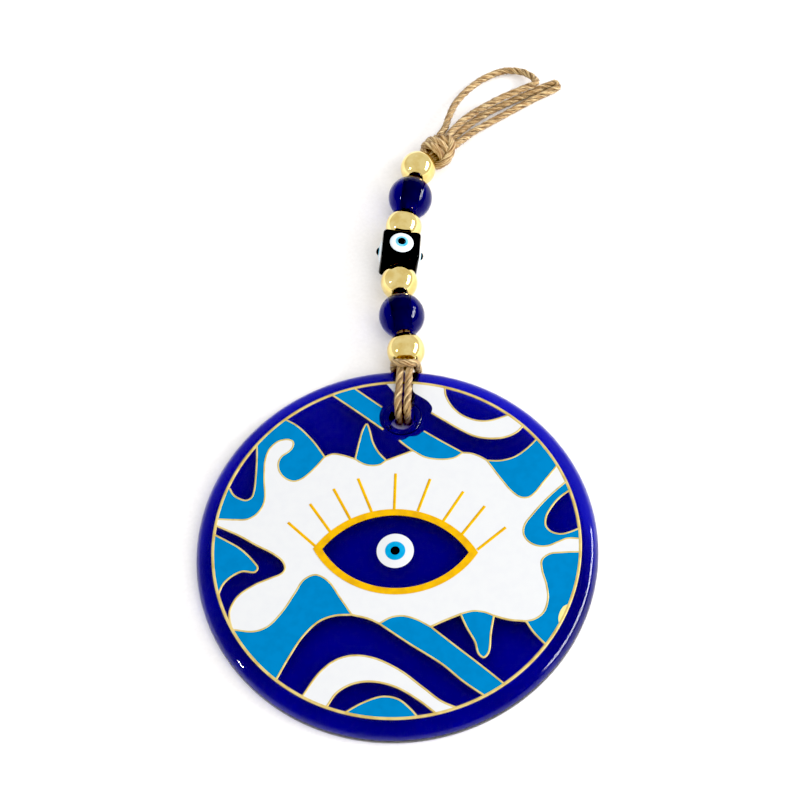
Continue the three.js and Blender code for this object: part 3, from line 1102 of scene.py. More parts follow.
@dataclass
class HangingLoops:
    """The two free loops that the ornament hangs by.

    Their points are in millimetres: X and Y from the knot's middle, and the height over the table.
    """

    radius: float = 1.1 * MM
    knot: KnotPlace = field(default_factory=KnotPlace)
    wide_points: tuple[Point, ...] = (
        (2.3, 9.9, 5.6),
        (3.5, 15.9, 4.6),
        (5.3, 22.4, 3.6),
        (9.3, 29.6, 2.6),
        (14.7, 35.4, 2),
        (21.2, 38.9, 1.8),
        (27.2, 38.4, 1.9),
        (31.2, 34.9, 2.6),
        (31.7, 31.5, 3.9),
        (28.2, 29, 4.2),
        (21.7, 25.4, 4),
        (14.7, 20.2, 4.4),
        (8.3, 13.8, 5.2),
    )
    long_points: tuple[Point, ...] = (
        (8.9, 13.6, 1.9),
        (15.2, 19.8, 1.4),
        (22.2, 24.7, 1.3),
        (29.2, 28.8, 1.3),
        (35.7, 32.8, 1.3),
        (38.6, 33.7, 1.3),
        (39.1, 32.1, 1.3),
        (36.9, 30.3, 1.3),
        (31.5, 26.9, 1.3),
        (25.2, 22.3, 1.3),
        (18.2, 17.1, 1.4),
        (11.7, 11.5, 2.1),
    )

    def build(self, paintbox: Paintbox) -> None:
        """Lays both loops, from the knot and back into it.

        Args:
            paintbox: gives the twine its finish.
        """
        wide_ends = (self.knot.exit(-2.6, 1.3), self.knot.exit(-0.2, 1.6))
        long_ends = (self.knot.exit(0.6, -1.3), self.knot.exit(2.9, -0.6))
        self._lay_loop(paintbox, "wide_hanging_loop", "loop_wide", wide_ends, self.wide_points, 3)
        self._lay_loop(paintbox, "long_hanging_loop", "loop_long", long_ends, self.long_points, 4)

    def _lay_loop(
        self,
        paintbox: Paintbox,
        name: str,
        node: str,
        ends: tuple[Vector, Vector],
        points: Sequence[Point],
        seed: int,
    ) -> None:
        """Args:
            paintbox: gives the twine its finish.
            name: the loop's name.
            node: the CAD node that it replaces.
            ends: where it leaves the knot and where it goes back in.
            points: the points between.
            seed: fixes its loose fibres.
        """
        middle = self.knot.centre / MM
        lying = [TABLE.over((middle.x + x, middle.y + y, above)) for x, y, above in points]
        loop, route = Twine().lay(name, [ends[0], *lying, ends[1]], self.radius, seed)
        paintbox.dress(loop, Finish.TWINE)
        settle(loop, "string_upper", node)


@dataclass
class OverhandKnot:
    """The knot that gathers the strands: a pair of strands wrapped round the bundle and drawn through."""

    knot: KnotPlace = field(default_factory=KnotPlace)
    strand_radius: float = 1.25 * MM
    wrap_radius: float = 4.2 * MM
    wrap_advance: float = 2.3 * MM
    turns: float = 3.1
    first_turn: float = math.radians(150)
    points_per_turn: int = 18
    end_taper: float = 0.3
    tilt: float = math.radians(-4)
    bundle_radius: float = 1.08 * MM
    bundle: tuple[Point, ...] = ((-2.2, 1.0), (-0.2, 1.4), (0.6, -1.1), (2.5, -0.6))
    twine: Twine = field(default_factory=lambda: Twine(pitch=16 * MM, ply_share=0.74))

    def build(self, paintbox: Paintbox) -> None:
        """Winds the wraps, lays the bundle through them and joins them as one knot.

        Args:
            paintbox: gives the twine its finish.
        """
        parts = [self._wraps(), self._returning_strand()]
        parts += [self._bundle_strand(index) for index in range(len(self.bundle))]
        activate(*parts)
        bpy.ops.object.join()
        knot = bpy.context.active_object
        knot.name = "drawn_overhand_knot"
        paintbox.dress(knot, Finish.TWINE)
        settle(knot, "string_upper", "overhand_knot")

    def _place(self, across: float, above: float, along: float) -> Vector:
        """Returns a point of the knot from its offsets in metres."""
        seat = self.knot.seat
        return seat.centre + seat.side * across + seat.up * above + seat.along * along

    def _wraps(self) -> bpy.types.Object:
        """Winds the wraps as a barrel-shaped helix whose ends tuck under it.

        Returns:
            The wrapping strand.
        """
        points = [self._place(-0.8 * MM, 0.5 * MM, -4.4 * MM)]
        steps = round(self.points_per_turn * self.turns)
        for i in range(steps + 1):
            share = i / steps
            turn = 2 * math.pi * self.turns * share + self.first_turn
            along = (share - 0.5) * self.wrap_advance * self.turns
            swell = self.wrap_radius * (1 - self.end_taper * (2 * share - 1) ** 2)
            lean = math.tan(self.tilt) * math.cos(turn) * swell
            points.append(self._place(math.cos(turn) * swell, math.sin(turn) * swell, along - lean))
        points.append(self._place(0.6 * MM, 0.8 * MM, 4.8 * MM))
        return self.twine.lay("wraps", points, self.strand_radius, 11)[0]

    def _bundle_strand(self, index: int) -> bpy.types.Object:
        """Lays one strand of the bundle through the wraps.

        Args:
            index: which of the four it is.

        Returns:
            The strand.
        """
        across, above = self.bundle[index]
        points = [
            self._place(0.35 * across * MM, 0.5 * above * MM, -4.6 * MM),
            self._place(0.6 * across * MM, 0.8 * above * MM, 0.0),
            self._place(0.9 * across * MM, 1.0 * above * MM, 3.2 * MM),
            self._place(across * MM, above * MM, 5.6 * MM),
        ]
        return self.twine.lay(f"bundle_{index}", points, self.bundle_radius, 21 + index)[0]

    def _returning_strand(self) -> bpy.types.Object:
        """Returns the strand that comes back down the knot's side, over the wraps."""
        points = [
            self._place(-0.4 * MM, 2.2 * MM, 5.2 * MM),
            self._place(2.2 * MM, 3.3 * MM, 4.3 * MM),
            self._place(4.3 * MM, 3.0 * MM, 2.2 * MM),
            self._place(5.1 * MM, 1.9 * MM, -0.6 * MM),
            self._place(4.6 * MM, 0.6 * MM, -3.2 * MM),
            self._place(2.9 * MM, -0.6 * MM, -4.6 * MM),
        ]
        return self.twine.lay("returning_strand", points, self.strand_radius, 31)[0]


# ---- Disc --------------------------------------------------------------------------------------------


@dataclass
class GlassDisc:
    """The pierced, fire-polished cobalt disc."""

    thickness: float = 5.5 * MM
    back_edge: float = 1.3 * MM
    shoulder: float = 3.6 * MM
    hole_radius: float = 3.7 * MM
    hole_y: float = 38 * MM
    lip_width: float = 1.9 * MM
    lip_height: float = 0.68 * MM
    lip_round: float = 0.62 * MM
    mouth_round: float = 0.55 * MM
    back_mouth_round: float = 0.6 * MM

    def build(self, paintbox: Paintbox) -> None:
        """Turns the blank, raises the hole's lip, pierces it and rounds its edges.

        Args:
            paintbox: gives the glass its finish.
        """
        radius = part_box("glass_disc")[1].x
        deselect_all()
        bpy.ops.mesh.primitive_cylinder_add(
            vertices=224, radius=radius, depth=self.thickness, location=(0, 0, self.thickness / 2)
        )
        disc = take_primitive("pierced_glass_disc")
        round_edges(disc, both_at_height(0.0), self.back_edge, 6)
        round_edges(disc, both_at_height(self.thickness), self.shoulder, 14)
        carve(disc, self._lip_blank(), "UNION")
        carve(disc, self._piercing_tool(), "DIFFERENCE")
        round_edges(disc, self._hole_edge(self.thickness + self.lip_height), self.mouth_round, 5)
        round_edges(disc, self._hole_edge(0.0), self.back_mouth_round, 4)
        close_and_turn_out(disc)
        smooth(disc)
        paintbox.dress(disc, Finish.DISC_GLASS)
        settle(disc, "disc", "glass_disc")

    def _lip_blank(self) -> bpy.types.Object:
        """Returns the ring of glass that the piercing tool pushed up, still solid."""
        depth = self.thickness / 2 + self.lip_height
        top = self.thickness + self.lip_height
        deselect_all()
        bpy.ops.mesh.primitive_cylinder_add(
            vertices=96,
            radius=self.hole_radius + self.lip_width,
            depth=depth,
            location=(0, self.hole_y, top - depth / 2),
        )
        blank = take_primitive("lip_blank")
        round_edges(blank, both_at_height(top), self.lip_round, 7)
        return blank

    def _piercing_tool(self) -> bpy.types.Object:
        """Returns the round tool that pierces the hole."""
        deselect_all()
        bpy.ops.mesh.primitive_cylinder_add(
            vertices=96, radius=self.hole_radius, depth=6 * self.thickness, location=(0, self.hole_y, 0)
        )
        return take_primitive("piercing_tool")

    def _hole_edge(self, height: float) -> EdgeTest:
        """Returns a test for the hole's edge at one height."""

        def on_edge(edge: bmesh.types.BMEdge) -> bool:
            """Tells whether both corners lie on the hole's circle at that height."""
            return all(
                abs(corner.co.z - height) < 2e-5
                and abs(math.hypot(corner.co.x, corner.co.y - self.hole_y) - self.hole_radius) < 3e-5
                for corner in edge.verts
            )

        return on_edge


class Tone(Enum):
    """The print's filled colours, each with its piece's name, finish, slot and thickness in millimetres."""

    WHITE = ("white_enamel_print", Finish.WHITE_ENAMEL, "white_enamel", 0.07)
    TURQUOISE = ("turquoise_enamel_print", Finish.TURQUOISE_ENAMEL, "sky_enamel", 0.09)
    CREAM = ("cream_enamel_print", Finish.CREAM_ENAMEL, "gold_enamel", 0.11)


@dataclass
class Print:
    """The fired print: enamel fields, the pale gold lines between them, the ring and the eye.

    Lines are drawn once, in millimetres from the disc's middle. They and the ring close the fields. An
    almond is given by its half width and the rises of its upper and lower arcs.
    """

    ring_radius: float = 49.8
    ring_width: float = 0.85
    line_width: float = 0.58
    line_height: float = 0.16
    line_spacing: float = 0.45
    joined_within: float = 0.2
    lash_width: float = 0.95
    lash_height: float = 0.2
    eye_centre: Point = (0.1, -3.3)
    eye_window: Point = (21.0, 11.4, 11.8)
    eye_line_outside: Point = (22.4, 12.5, 12.7)
    eye_line_inside: Point = (19.9, 10.6, 10.9)
    eye_line_height: float = 0.17
    almond_steps: int = 48
    lines: dict[str, tuple[Point, ...]] = field(
        default_factory=lambda: {
            "hook_inner": (
                (-49.3, 5), (-45, 4.9), (-41, 5.2), (-38.6, 7), (-37.3, 9.5), (-37, 12), (-37.8, 18),
                (-38, 24), (-37, 27.5), (-34.8, 29.8), (-32, 30.4), (-30.6, 29.6), (-30.7, 27.8),
                (-31.8, 26.3), (-33.4, 25), (-34.2, 23), (-33.8, 20.5), (-32, 18.2), (-29.5, 17.2),
                (-27.5, 17.8), (-24.5, 20.6), (-21.3, 25),
            ),
            "hook_window": (
                (-47.2, 14.5), (-46, 12.6), (-44, 11.3), (-42, 10.9), (-40.7, 11.8), (-40.2, 13.5),
                (-40.2, 20), (-40.5, 25), (-40.9, 28.6),
            ),
            "hook_upper": ((-33.3, 36.8), (-30, 34.9), (-25, 30), (-21.3, 25)),
            "top_left": ((-21.3, 25), (-19, 26), (-16, 25.6), (-12.6, 24.5)),
            "horn": (
                (-12.6, 24.5), (-11.8, 30), (-11, 34), (-10.1, 35.9), (-9.2, 34), (-8, 30), (-6.2, 26.8),
                (-3.9, 24.3),
            ),
            "horn_base": ((-12.6, 24.5), (-10.5, 23.2), (-8, 22.6), (-5.5, 23), (-3.9, 24.3)),
            "top_middle": ((-3.9, 24.3), (0, 26), (3.5, 27.6)),
            "brow_tail": ((-0.5, 30.8), (1.5, 29.1), (3.5, 27.6)),
            "brow_lower": ((3.5, 27.6), (7, 25.6), (11, 25), (15, 25.5), (17.5, 27.2)),
            "brow_upper": ((6.3, 33.9), (12, 30.4), (17.5, 27.2)),
            "stripe_lower": ((-20.5, 45.3), (-12.5, 39.6), (-5.2, 34.2)),
            "stripe_upper": ((-14.3, 47.6), (-10, 44.4), (-6, 41.5)),
            "crescent_window": (
                (11.7, 48.4), (12, 46), (13.5, 42.8), (16, 40), (19.5, 38.1), (23, 37.5), (26, 38),
                (30.2, 39.7),
            ),
            "crescent_lower": (
                (34.2, 36.2), (32.5, 34.2), (29.5, 32.6), (25.5, 32), (21, 32.6), (17, 34.5), (12, 37.6),
                (8.2, 40),
            ),
            "gap_edge": ((17.5, 27.2), (20, 27), (22.5, 26), (24.3, 24.9)),
            "fin_upper": ((24.3, 24.9), (28, 24.9), (32, 26.2), (35.5, 29), (38.3, 32.2)),
            "fin_lower": (
                (24.3, 24.9), (28.5, 19), (31.5, 15.3), (33.8, 13.7), (35.8, 13.7), (37.5, 15), (40, 18.5),
                (43.8, 23.8),
            ),
            "right_upper": (
                (46.4, 19), (41, 13.5), (37, 8.5), (35, 5.5), (34.6, 3), (35.6, 0.8), (38, -0.7),
                (41, -0.8), (44, 0.5), (46.5, 1.6), (50, 1.6),
            ),
            "right_window": (
                (50, 4.8), (47, 3.4), (44.5, 2.8), (42, 3.5), (40.6, 5.2), (40.7, 8), (42.5, 11.5),
                (44.5, 14), (47.3, 16.3),
            ),
            "right_lower": (
                (50, -2.3), (45, -2.6), (41.5, -3.2), (39.6, -5), (39.7, -8), (40.8, -12), (41.2, -16),
                (40, -20), (37.5, -22), (35.5, -22.5),
            ),
            "right_foot": ((35.5, -22.5), (37.5, -25.5), (40.6, -28.8)),
            "bottom_right": ((35.5, -22.5), (31, -22.2), (27, -21.2)),
            "tooth_top": ((27, -21.2), (24.5, -20.3), (21.5, -20.1), (18.3, -21)),
            "tooth": (
                (18.3, -21), (20, -24.6), (22.3, -28.6), (23.3, -31.8), (24.6, -32.8), (25.8, -31.4),
                (26.3, -26), (27, -21.2),
            ),
            "bottom_middle": ((18.3, -21), (14, -23), (10.5, -24.8)),
            "bar_top": ((10.5, -24.8), (6.5, -22.8), (3, -22), (0, -22.5), (-3, -24.3)),
            "bar_upper": ((10.5, -24.8), (17, -29.8), (24, -35.1), (30.2, -40)),
            "bar_lower": ((-3, -24.3), (5, -29.5), (14, -35), (19.5, -39.4), (25.4, -43.3)),
            "bottom_left": ((-3, -24.3), (-6, -23), (-10.5, -22)),
            "wave_crest": (
                (-10.5, -22), (-14, -17.2), (-17.5, -12.6), (-21, -10.9), (-24, -12.4), (-26.2, -16.5),
                (-29, -21.7), (-32.5, -26), (-36, -27.5), (-41.6, -27.2),
            ),
            "wave_back": (
                (-10.5, -22), (-15, -22.4), (-19, -24.1), (-23, -28.5), (-26, -34), (-29, -40.6),
            ),
            "left_window": (
                (-42, -26.8), (-42.8, -24.5), (-43.1, -22), (-41.6, -18), (-37.5, -14.5), (-33, -12.2),
                (-30.2, -10.8), (-29.4, -9.4), (-30.2, -7.2), (-33, -5), (-38, -2.5), (-43, 0.2), (-49.6, 3),
            ),
            "fish_tail": (
                (-50, 0.3), (-46, -1.7), (-42, -4), (-38.5, -7.2), (-36.9, -9.4), (-37.6, -10.5),
                (-41, -10.4), (-43.8, -12), (-45.8, -14.3), (-46.8, -17.4),
            ),
            "arch_outer": (
                (-21.8, -45), (-18, -38.6), (-14, -34.9), (-9.5, -33.4), (-4, -33.9), (3, -37),
                (9, -41.3), (14, -44.9), (18.2, -46.6),
            ),
            "arch_inner": (
                (13.2, -48.4), (8, -44.6), (2, -41.4), (-4, -40.2), (-9, -41), (-13, -43.6), (-15.3, -47.4),
            ),
            "moon": ((-10.5, -48.8), (-6, -46), (-1, -44.2), (3, -44.8), (6, -47), (8.3, -49.4)),
        }
    )
    bare_edges: dict[str, tuple[Point, ...]] = field(
        default_factory=lambda: {
            "brow_chip": ((6.3, 33.9), (4.2, 32.3), (2.4, 32.1), (0.9, 31.1), (-0.5, 30.8)),
            "stripe_chip": ((-5.2, 34.2), (-6.3, 36.3), (-6.6, 39), (-6, 41.5)),
            "crescent_chip": ((8.2, 40), (8.4, 41.6), (7, 43.8), (5, 45.2), (2.7, 47), (2.6, 50)),
            "sliver": ((-5.6, 49.8), (-4.0, 48.0), (-2.5, 46.4), (-2.2, 50)),
            "cream_drop": ((47.2, -17.2), (45.3, -18.1), (44.2, -20), (43.9, -22), (44.6, -24)),
        }
    )
    fields: tuple[tuple[Tone, tuple[str, ...]], ...] = (
        (
            Tone.WHITE,
            (
                "hook_inner", "top_left", "horn_base", "top_middle", "brow_lower", "gap_edge", "fin_lower",
                "right_upper", "right_lower", "bottom_right", "tooth_top", "bottom_middle", "bar_top",
                "bottom_left", "wave_crest", "left_window",
            ),
        ),
        (Tone.WHITE, ("crescent_window", "crescent_lower", "crescent_chip")),
        (Tone.WHITE, ("arch_outer", "arch_inner")),
        (Tone.WHITE, ("sliver",)),
        (Tone.CREAM, ("cream_drop",)),
        (Tone.TURQUOISE, ("hook_inner", "-hook_upper", "-hook_window")),
        (Tone.TURQUOISE, ("horn", "-horn_base")),
        (Tone.TURQUOISE, ("brow_tail", "brow_lower", "-brow_upper", "brow_chip")),
        (Tone.TURQUOISE, ("stripe_lower", "stripe_chip", "-stripe_upper")),
        (Tone.TURQUOISE, ("fin_upper", "-fin_lower")),
        (Tone.TURQUOISE, ("right_upper", "right_window")),
        (Tone.TURQUOISE, ("right_lower", "right_foot")),
        (Tone.TURQUOISE, ("tooth", "tooth_top")),
        (Tone.TURQUOISE, ("bar_top", "bar_lower", "-bar_upper")),
        (Tone.TURQUOISE, ("wave_crest", "-wave_back")),
        (Tone.TURQUOISE, ("fish_tail",)),
        (Tone.TURQUOISE, ("moon",)),
    )
    lashes: tuple[tuple[Point, Point], ...] = (
        ((-29.8, 4.4), (-21.6, -2.6)),
        ((-24.2, 10.2), (-17.6, 1.4)),
        ((-18, 15), (-12.6, 5.6)),
        ((-11.4, 18.4), (-7, 8.3)),
        ((-1, 20.2), (-0.8, 9)),
        ((8.7, 18.7), (5.7, 8.7)),
        ((18, 15), (12.6, 5.6)),
        ((24, 10.7), (17.8, 1.8)),
        ((29.8, 4.4), (22.3, -2.4)),
    )

    @property
    def face(self) -> float:
        """The height of the disc's printed face, in metres."""
        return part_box("enamel_field")[0].z

    def build(self, paintbox: Paintbox) -> None:
        """Prints every field, line and ring, and the eye.

        Args:
            paintbox: gives the enamels their finishes.
        """
        for tone in Tone:
            self._print_tone(paintbox, tone)
        self._draw_lines(paintbox)
        self._draw_ring(paintbox)
        self._draw_eye_line(paintbox)
        self._draw_eye_centre(paintbox)

    def _clamped(self, point: Vector) -> Vector:
        """Returns a point drawn in to the ring if it lies outside it."""
        reach = point.length
        return point * (self.ring_radius / reach) if reach > self.ring_radius else point

    def _line(self, name: str) -> list[Vector]:
        """Returns a line's samples in millimetres, backwards if its name starts with a minus."""
        points = {**self.lines, **self.bare_edges}[name.lstrip("-")]
        samples = smooth_route([Vector((x, y, 0)) for x, y in points], self.line_spacing)
        samples = [self._clamped(point) for point in samples]
        return samples[::-1] if name.startswith("-") else samples

    def _ring_arc(self, start: Vector, end: Vector) -> list[Vector]:
        """Returns points along the ring from start to end by the short way, without the ends."""
        low = math.atan2(start.y, start.x)
        span = (math.atan2(end.y, end.x) - low + math.pi) % (2 * math.pi) - math.pi
        steps = max(1, math.ceil(abs(span) / math.radians(1.2)))
        angles = [low + span * i / steps for i in range(1, steps)]
        return [Vector((math.cos(a), math.sin(a), 0)) * self.ring_radius for a in angles]

    def _outline(self, names: Sequence[str]) -> list[Vector]:
        """Closes a field from its lines, following the ring wherever two of them end on it.

        Args:
            names: the field's lines in order.

        Returns:
            Its outline in millimetres.
        """
        outline: list[Vector] = []
        stretches = [self._line(name) for name in names]
        for i, stretch in enumerate(stretches):
            following = stretches[(i + 1) % len(stretches)][0]
            outline.extend(stretch)
            if (following - stretch[-1]).length > self.joined_within:
                outline.extend(self._ring_arc(stretch[-1], following))
            else:
                outline.pop()
        return outline

    def _meshed(
        self, curve: bpy.types.Curve, strokes: Sequence[Sequence[Vector]], closed: bool
    ) -> bpy.types.Object:
        """Runs a curve through strokes and turns it to a mesh.

        Args:
            curve: the curve, with its thickness set.
            strokes: the strokes' points in millimetres.
            closed: whether each stroke is an outline.

        Returns:
            The piece, named as the curve.
        """
        for stroke in strokes:
            spline = curve.splines.new("POLY")
            spline.points.add(len(stroke) - 1)
            for corner, point in zip(spline.points, stroke):
                corner.co = (point.x * MM, point.y * MM, 0, 1)
            spline.use_cyclic_u = closed
        piece = bpy.data.objects.new(curve.name, curve)
        bpy.context.scene.collection.objects.link(piece)
        activate(piece)
        bpy.ops.object.convert(target="MESH")
        return piece

    def _flat_piece(
        self, name: str, outlines: Sequence[Sequence[Vector]], thickness: float
    ) -> bpy.types.Object:
        """Fills outlines in the disc's face plane and gives them a thickness.

        Args:
            name: the piece's name.
            outlines: closed outlines in millimetres, one inside another making a hole.
            thickness: in millimetres.

        Returns:
            The piece, standing on the face.
        """
        curve = bpy.data.curves.new(name, "CURVE")
        curve.dimensions = "2D"
        curve.fill_mode = "BOTH"
        curve.extrude = thickness * MM / 2
        piece = self._meshed(curve, outlines, closed=True)
        place_in_mesh(piece, Matrix.Translation((0, 0, self.face + thickness * MM / 2)))
        close_and_turn_out(piece)
        return piece

    def _drawn_piece(
        self, name: str, strokes: Sequence[Sequence[Vector]], width: float, height: float
    ) -> bpy.types.Object:
        """Draws strokes as raised lines, round across and flattened onto the face.

        Args:
            name: the piece's name.
            strokes: the strokes' points in millimetres.
            width: the line's width in millimetres.
            height: how far it stands out of the face, in millimetres.

        Returns:
            The piece.
        """
        curve = bpy.data.curves.new(name, "CURVE")
        curve.dimensions = "3D"
        curve.bevel_depth = width * MM / 2
        curve.bevel_resolution = 2
        curve.use_fill_caps = True
        piece = self._meshed(curve, strokes, closed=False)
        flatten = Matrix.Diagonal((1, 1, 2 * height / width, 1))
        place_in_mesh(piece, Matrix.Translation((0, 0, self.face)) @ flatten)
        close_and_turn_out(piece)
        smooth(piece, 60)
        return piece

    def _almond(self, half_width: float, upper: float, lower: float) -> list[Vector]:
        """Returns an almond of two arcs.

        Args:
            half_width: from its middle to a tip.
            upper: the upper arc's rise.
            lower: the lower arc's drop.

        Returns:
            Its outline in millimetres.
        """
        outline = []
        for sagitta, sign in ((upper, 1), (lower, -1)):
            radius = (half_width**2 + sagitta**2) / (2 * sagitta)
            reach = math.asin(half_width / radius)
            for i in range(self.almond_steps):
                angle = reach * (1 - 2 * i / self.almond_steps) * sign
                x = radius * math.sin(angle)
                y = sign * (radius * math.cos(angle) - (radius - sagitta))
                outline.append(Vector((self.eye_centre[0] + x, self.eye_centre[1] + y, 0)))
        return outline

    def _print_tone(self, paintbox: Paintbox, tone: Tone) -> None:
        """Prints all fields of one tone as one piece.

        Args:
            paintbox: gives the enamel its finish.
            tone: the tone.
        """
        name, finish, slot, thickness = tone.value
        outlines = [self._outline(names) for kind, names in self.fields if kind is tone]
        if tone is Tone.WHITE:
            outlines.append(self._almond(*self.eye_window))
        piece = self._flat_piece(name, outlines, thickness)
        paintbox.dress(piece, finish)
        nodes = ("enamel_field",) if tone is Tone.WHITE else ()
        settle(piece, "disc", *nodes)

    def _draw_lines(self, paintbox: Paintbox) -> None:
        """Draws the pale gold lines between the fields."""
        strokes = [self._line(name) for name in self.lines]
        piece = self._drawn_piece("pale_gold_lines", strokes, self.line_width, self.line_height)
        paintbox.dress(piece, Finish.OUTLINE_GOLD)
        settle(piece, "disc")

    def _draw_ring(self, paintbox: Paintbox) -> None:
        """Draws the gold ring round the print."""
        deselect_all()
        bpy.ops.mesh.primitive_torus_add(
            major_radius=(self.ring_radius + 0.1) * MM,
            minor_radius=self.ring_width * MM / 2,
            major_segments=240,
            minor_segments=12,
        )
        ring = take_primitive("gold_ring_line")
        flatten = Matrix.Diagonal((1, 1, 0.42, 1))
        place_in_mesh(ring, Matrix.Translation((0, 0, self.face)) @ flatten)
        smooth(ring, 80)
        paintbox.dress(ring, Finish.OUTLINE_GOLD)
        settle(ring, "disc", "gold_rim_line")

    def _draw_eye_line(self, paintbox: Paintbox) -> None:
        """Draws the almond's gold line and the nine lashes over it."""
        outlines = [self._almond(*self.eye_line_outside), self._almond(*self.eye_line_inside)]
        band = self._flat_piece("eye_band", outlines, self.eye_line_height)
        lashes = [[Vector((x, y, 0)) for x, y in lash] for lash in self.lashes]
        drawn = self._drawn_piece("lash_lines", lashes, self.lash_width, self.lash_height)
        activate(band, drawn)
        bpy.ops.object.join()
        band.name = "gold_eye_and_lashes"
        paintbox.dress(band, Finish.EYE_GOLD)
        settle(band, "disc", "gold_eye_line")

    def _draw_eye_centre(self, paintbox: Paintbox) -> None:
        """Prints the eye's white, iris and pupil one on another."""
        rounds = (
            ("printed_eye_white", 5.05, 0.16, Finish.WHITE_ENAMEL, "white_enamel", "eye_white"),
            ("printed_eye_iris", 2.75, 0.22, Finish.SKY_ENAMEL, "sky_enamel", "eye_iris"),
            ("printed_eye_pupil", 1.25, 0.28, Finish.BLACK_ENAMEL, "black_enamel", "eye_pupil"),
        )
        for name, radius, thickness, finish, slot, node in rounds:
            deselect_all()
            bpy.ops.mesh.primitive_cylinder_add(
                vertices=96,
                radius=radius * MM,
                depth=thickness * MM,
                location=(self.eye_centre[0] * MM, self.eye_centre[1] * MM, self.face + thickness * MM / 2),
            )
            piece = take_primitive(name)
            round_edges(piece, both_at_height(self.face + thickness * MM), 0.05 * MM, 3)
            smooth(piece, 60)
            paintbox.dress(piece, finish)
            settle(piece, "disc", node)


# ---- Hitch and strands -------------------------------------------------------------------------------


@dataclass
class Hitch:
    """The twine that holds the disc: over the face, down the hole, back to the rim, up and across."""

    radius: float = 1.08
    gap: float = 0.3
    strand_x: float = 1.3
    bar_height: float = 8.9
    disc: GlassDisc = field(default_factory=GlassDisc)

    def build(self, paintbox: Paintbox) -> None:
        """Lays the hitch as one length of twine.

        Args:
            paintbox: gives the twine its finish.
        """
        half = self._right_half()
        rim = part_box("glass_disc")[1].y / MM
        bar = Vector((0, rim - 0.5, self.bar_height))
        mirrored = [Vector((-point.x, point.y, point.z)) for point in reversed(half)]
        points = [point * MM for point in (*half, bar, *mirrored)]
        hitch, _ = Twine().lay("rim_hitch_twine", points, self.radius * MM, 7)
        paintbox.dress(hitch, Finish.TWINE)
        settle(hitch, "disc", "hitch_twine")

    def _right_half(self) -> list[Vector]:
        """Returns the right leg's points in millimetres, from the string's splice to the bar."""
        disc = self.disc
        face = disc.thickness / MM
        edge = disc.back_edge / MM
        hole_y = disc.hole_y / MM
        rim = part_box("glass_disc")[1].y / MM
        reach = 1.0 + self.gap
        x = self.strand_x
        wall_y = hole_y + math.sqrt((disc.hole_radius / MM - reach) ** 2 - x**2)
        lip_y = hole_y + math.sqrt((disc.hole_radius / MM + disc.lip_width / MM / 2) ** 2 - x**2)
        turn = lip_y - wall_y
        over_lip = disc.lip_height / MM + reach
        above = face + 0.12 + reach
        foot = rim - edge
        round_foot = edge + reach
        # Each arc point: X, the arc's centre in Y and Z, its half width and height, and the angle on it.
        # The leg spreads under the disc, so X grows towards the rim.
        arcs = [
            (x, lip_y, face, turn, over_lip, 90),
            (x, lip_y, face, turn, over_lip, 135),
            (x, lip_y, face, turn, over_lip, 180),
            (x, lip_y, 0, turn, reach, 180),
            (x, lip_y, 0, turn, reach, 225),
            (1.1 * x, lip_y, 0, turn, reach, 270),
            (2 * x, foot, edge, round_foot, round_foot, 270),
            (2.4 * x, foot, edge, round_foot, round_foot, 315),
            (2.65 * x, foot, edge, round_foot, round_foot, 360),
        ]
        bends = [
            Vector((px, y + wide * math.cos(math.radians(a)), z + high * math.sin(math.radians(a))))
            for px, y, z, wide, high, a in arcs
        ]
        start = [
            Vector((x, rim + 0.9, above - 0.7)),
            Vector((x, rim - 2, above)),
            Vector((x, lip_y + 3, above)),
        ]
        finish = [
            Vector((2.65 * x, rim + reach - 0.2, face - 1)),
            Vector((2.15 * x, rim + 0.3, above + 0.9)),
            Vector((x, rim - 0.4, above + 1.6)),
        ]
        return [*start, *bends, *finish]


@dataclass
class InnerStrands:
    """The two strands that run through the beads, in the stretches between the places where they bend."""

    radius: float = 0.94 * MM
    offset: float = 0.98 * MM
    end_reach: float = 0.25 * MM
    stretches: tuple[tuple[str, tuple[str, ...]], ...] = (
        ("lower", ("gold_bead_1",)),
        ("middle", ("cobalt_bead_1", "gold_bead_2", "cube_bead", "gold_bead_3", "cobalt_bead_2")),
        ("upper", ("gold_bead_4",)),
    )

    def build(self, paintbox: Paintbox) -> None:
        """Lays both strands of each stretch.

        Args:
            paintbox: gives the twine its finish.
        """
        for stretch, beads in self.stretches:
            for number, side in enumerate(("left", "right")):
                self._lay_strand(paintbox, stretch, beads, side, number)

    def _lay_strand(
        self, paintbox: Paintbox, stretch: str, beads: Sequence[str], side: str, number: int
    ) -> None:
        """Lays one strand of one stretch.

        Args:
            paintbox: gives the twine its finish.
            stretch: the stretch's name.
            beads: its beads in order from the disc.
            side: left or right.
            number: 0 for left, 1 for right.
        """
        across = self.offset * (2 * number - 1)
        points: list[Vector] = []
        for bead in beads:
            seat = bead_seat(bead)
            half = bead_half_length(bead) + self.end_reach
            middle = seat.centre + seat.side * across
            points += [middle - seat.along * half, middle, middle + seat.along * half]
        if stretch == "lower":
            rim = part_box("glass_disc")[1].y
            points.insert(0, Vector((across, rim - 0.2 * MM, 6.6 * MM)))
        if stretch == "upper":
            seat = KnotPlace().seat
            points.append(seat.centre + seat.side * (0.4 * across) - seat.along * (3.4 * MM))
        strand, _ = Twine().lay(f"bore_twine_{stretch}_{side}", points, self.radius, 41 + number)
        paintbox.dress(strand, Finish.TWINE)
        settle(strand, "string_" + stretch, f"strand_{stretch}_{side}")


# ---- Beads -------------------------------------------------------------------------------------------


def bead_half_length(bead: str) -> float:
    """Returns half of a bead's length along its bore."""
    if bead == "cube_bead":
        return CUBE_LENGTH / 2
    low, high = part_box(bead)
    radius = (high.x - low.x) / 2
    return math.sqrt(radius**2 - BORE_RADIUS**2)


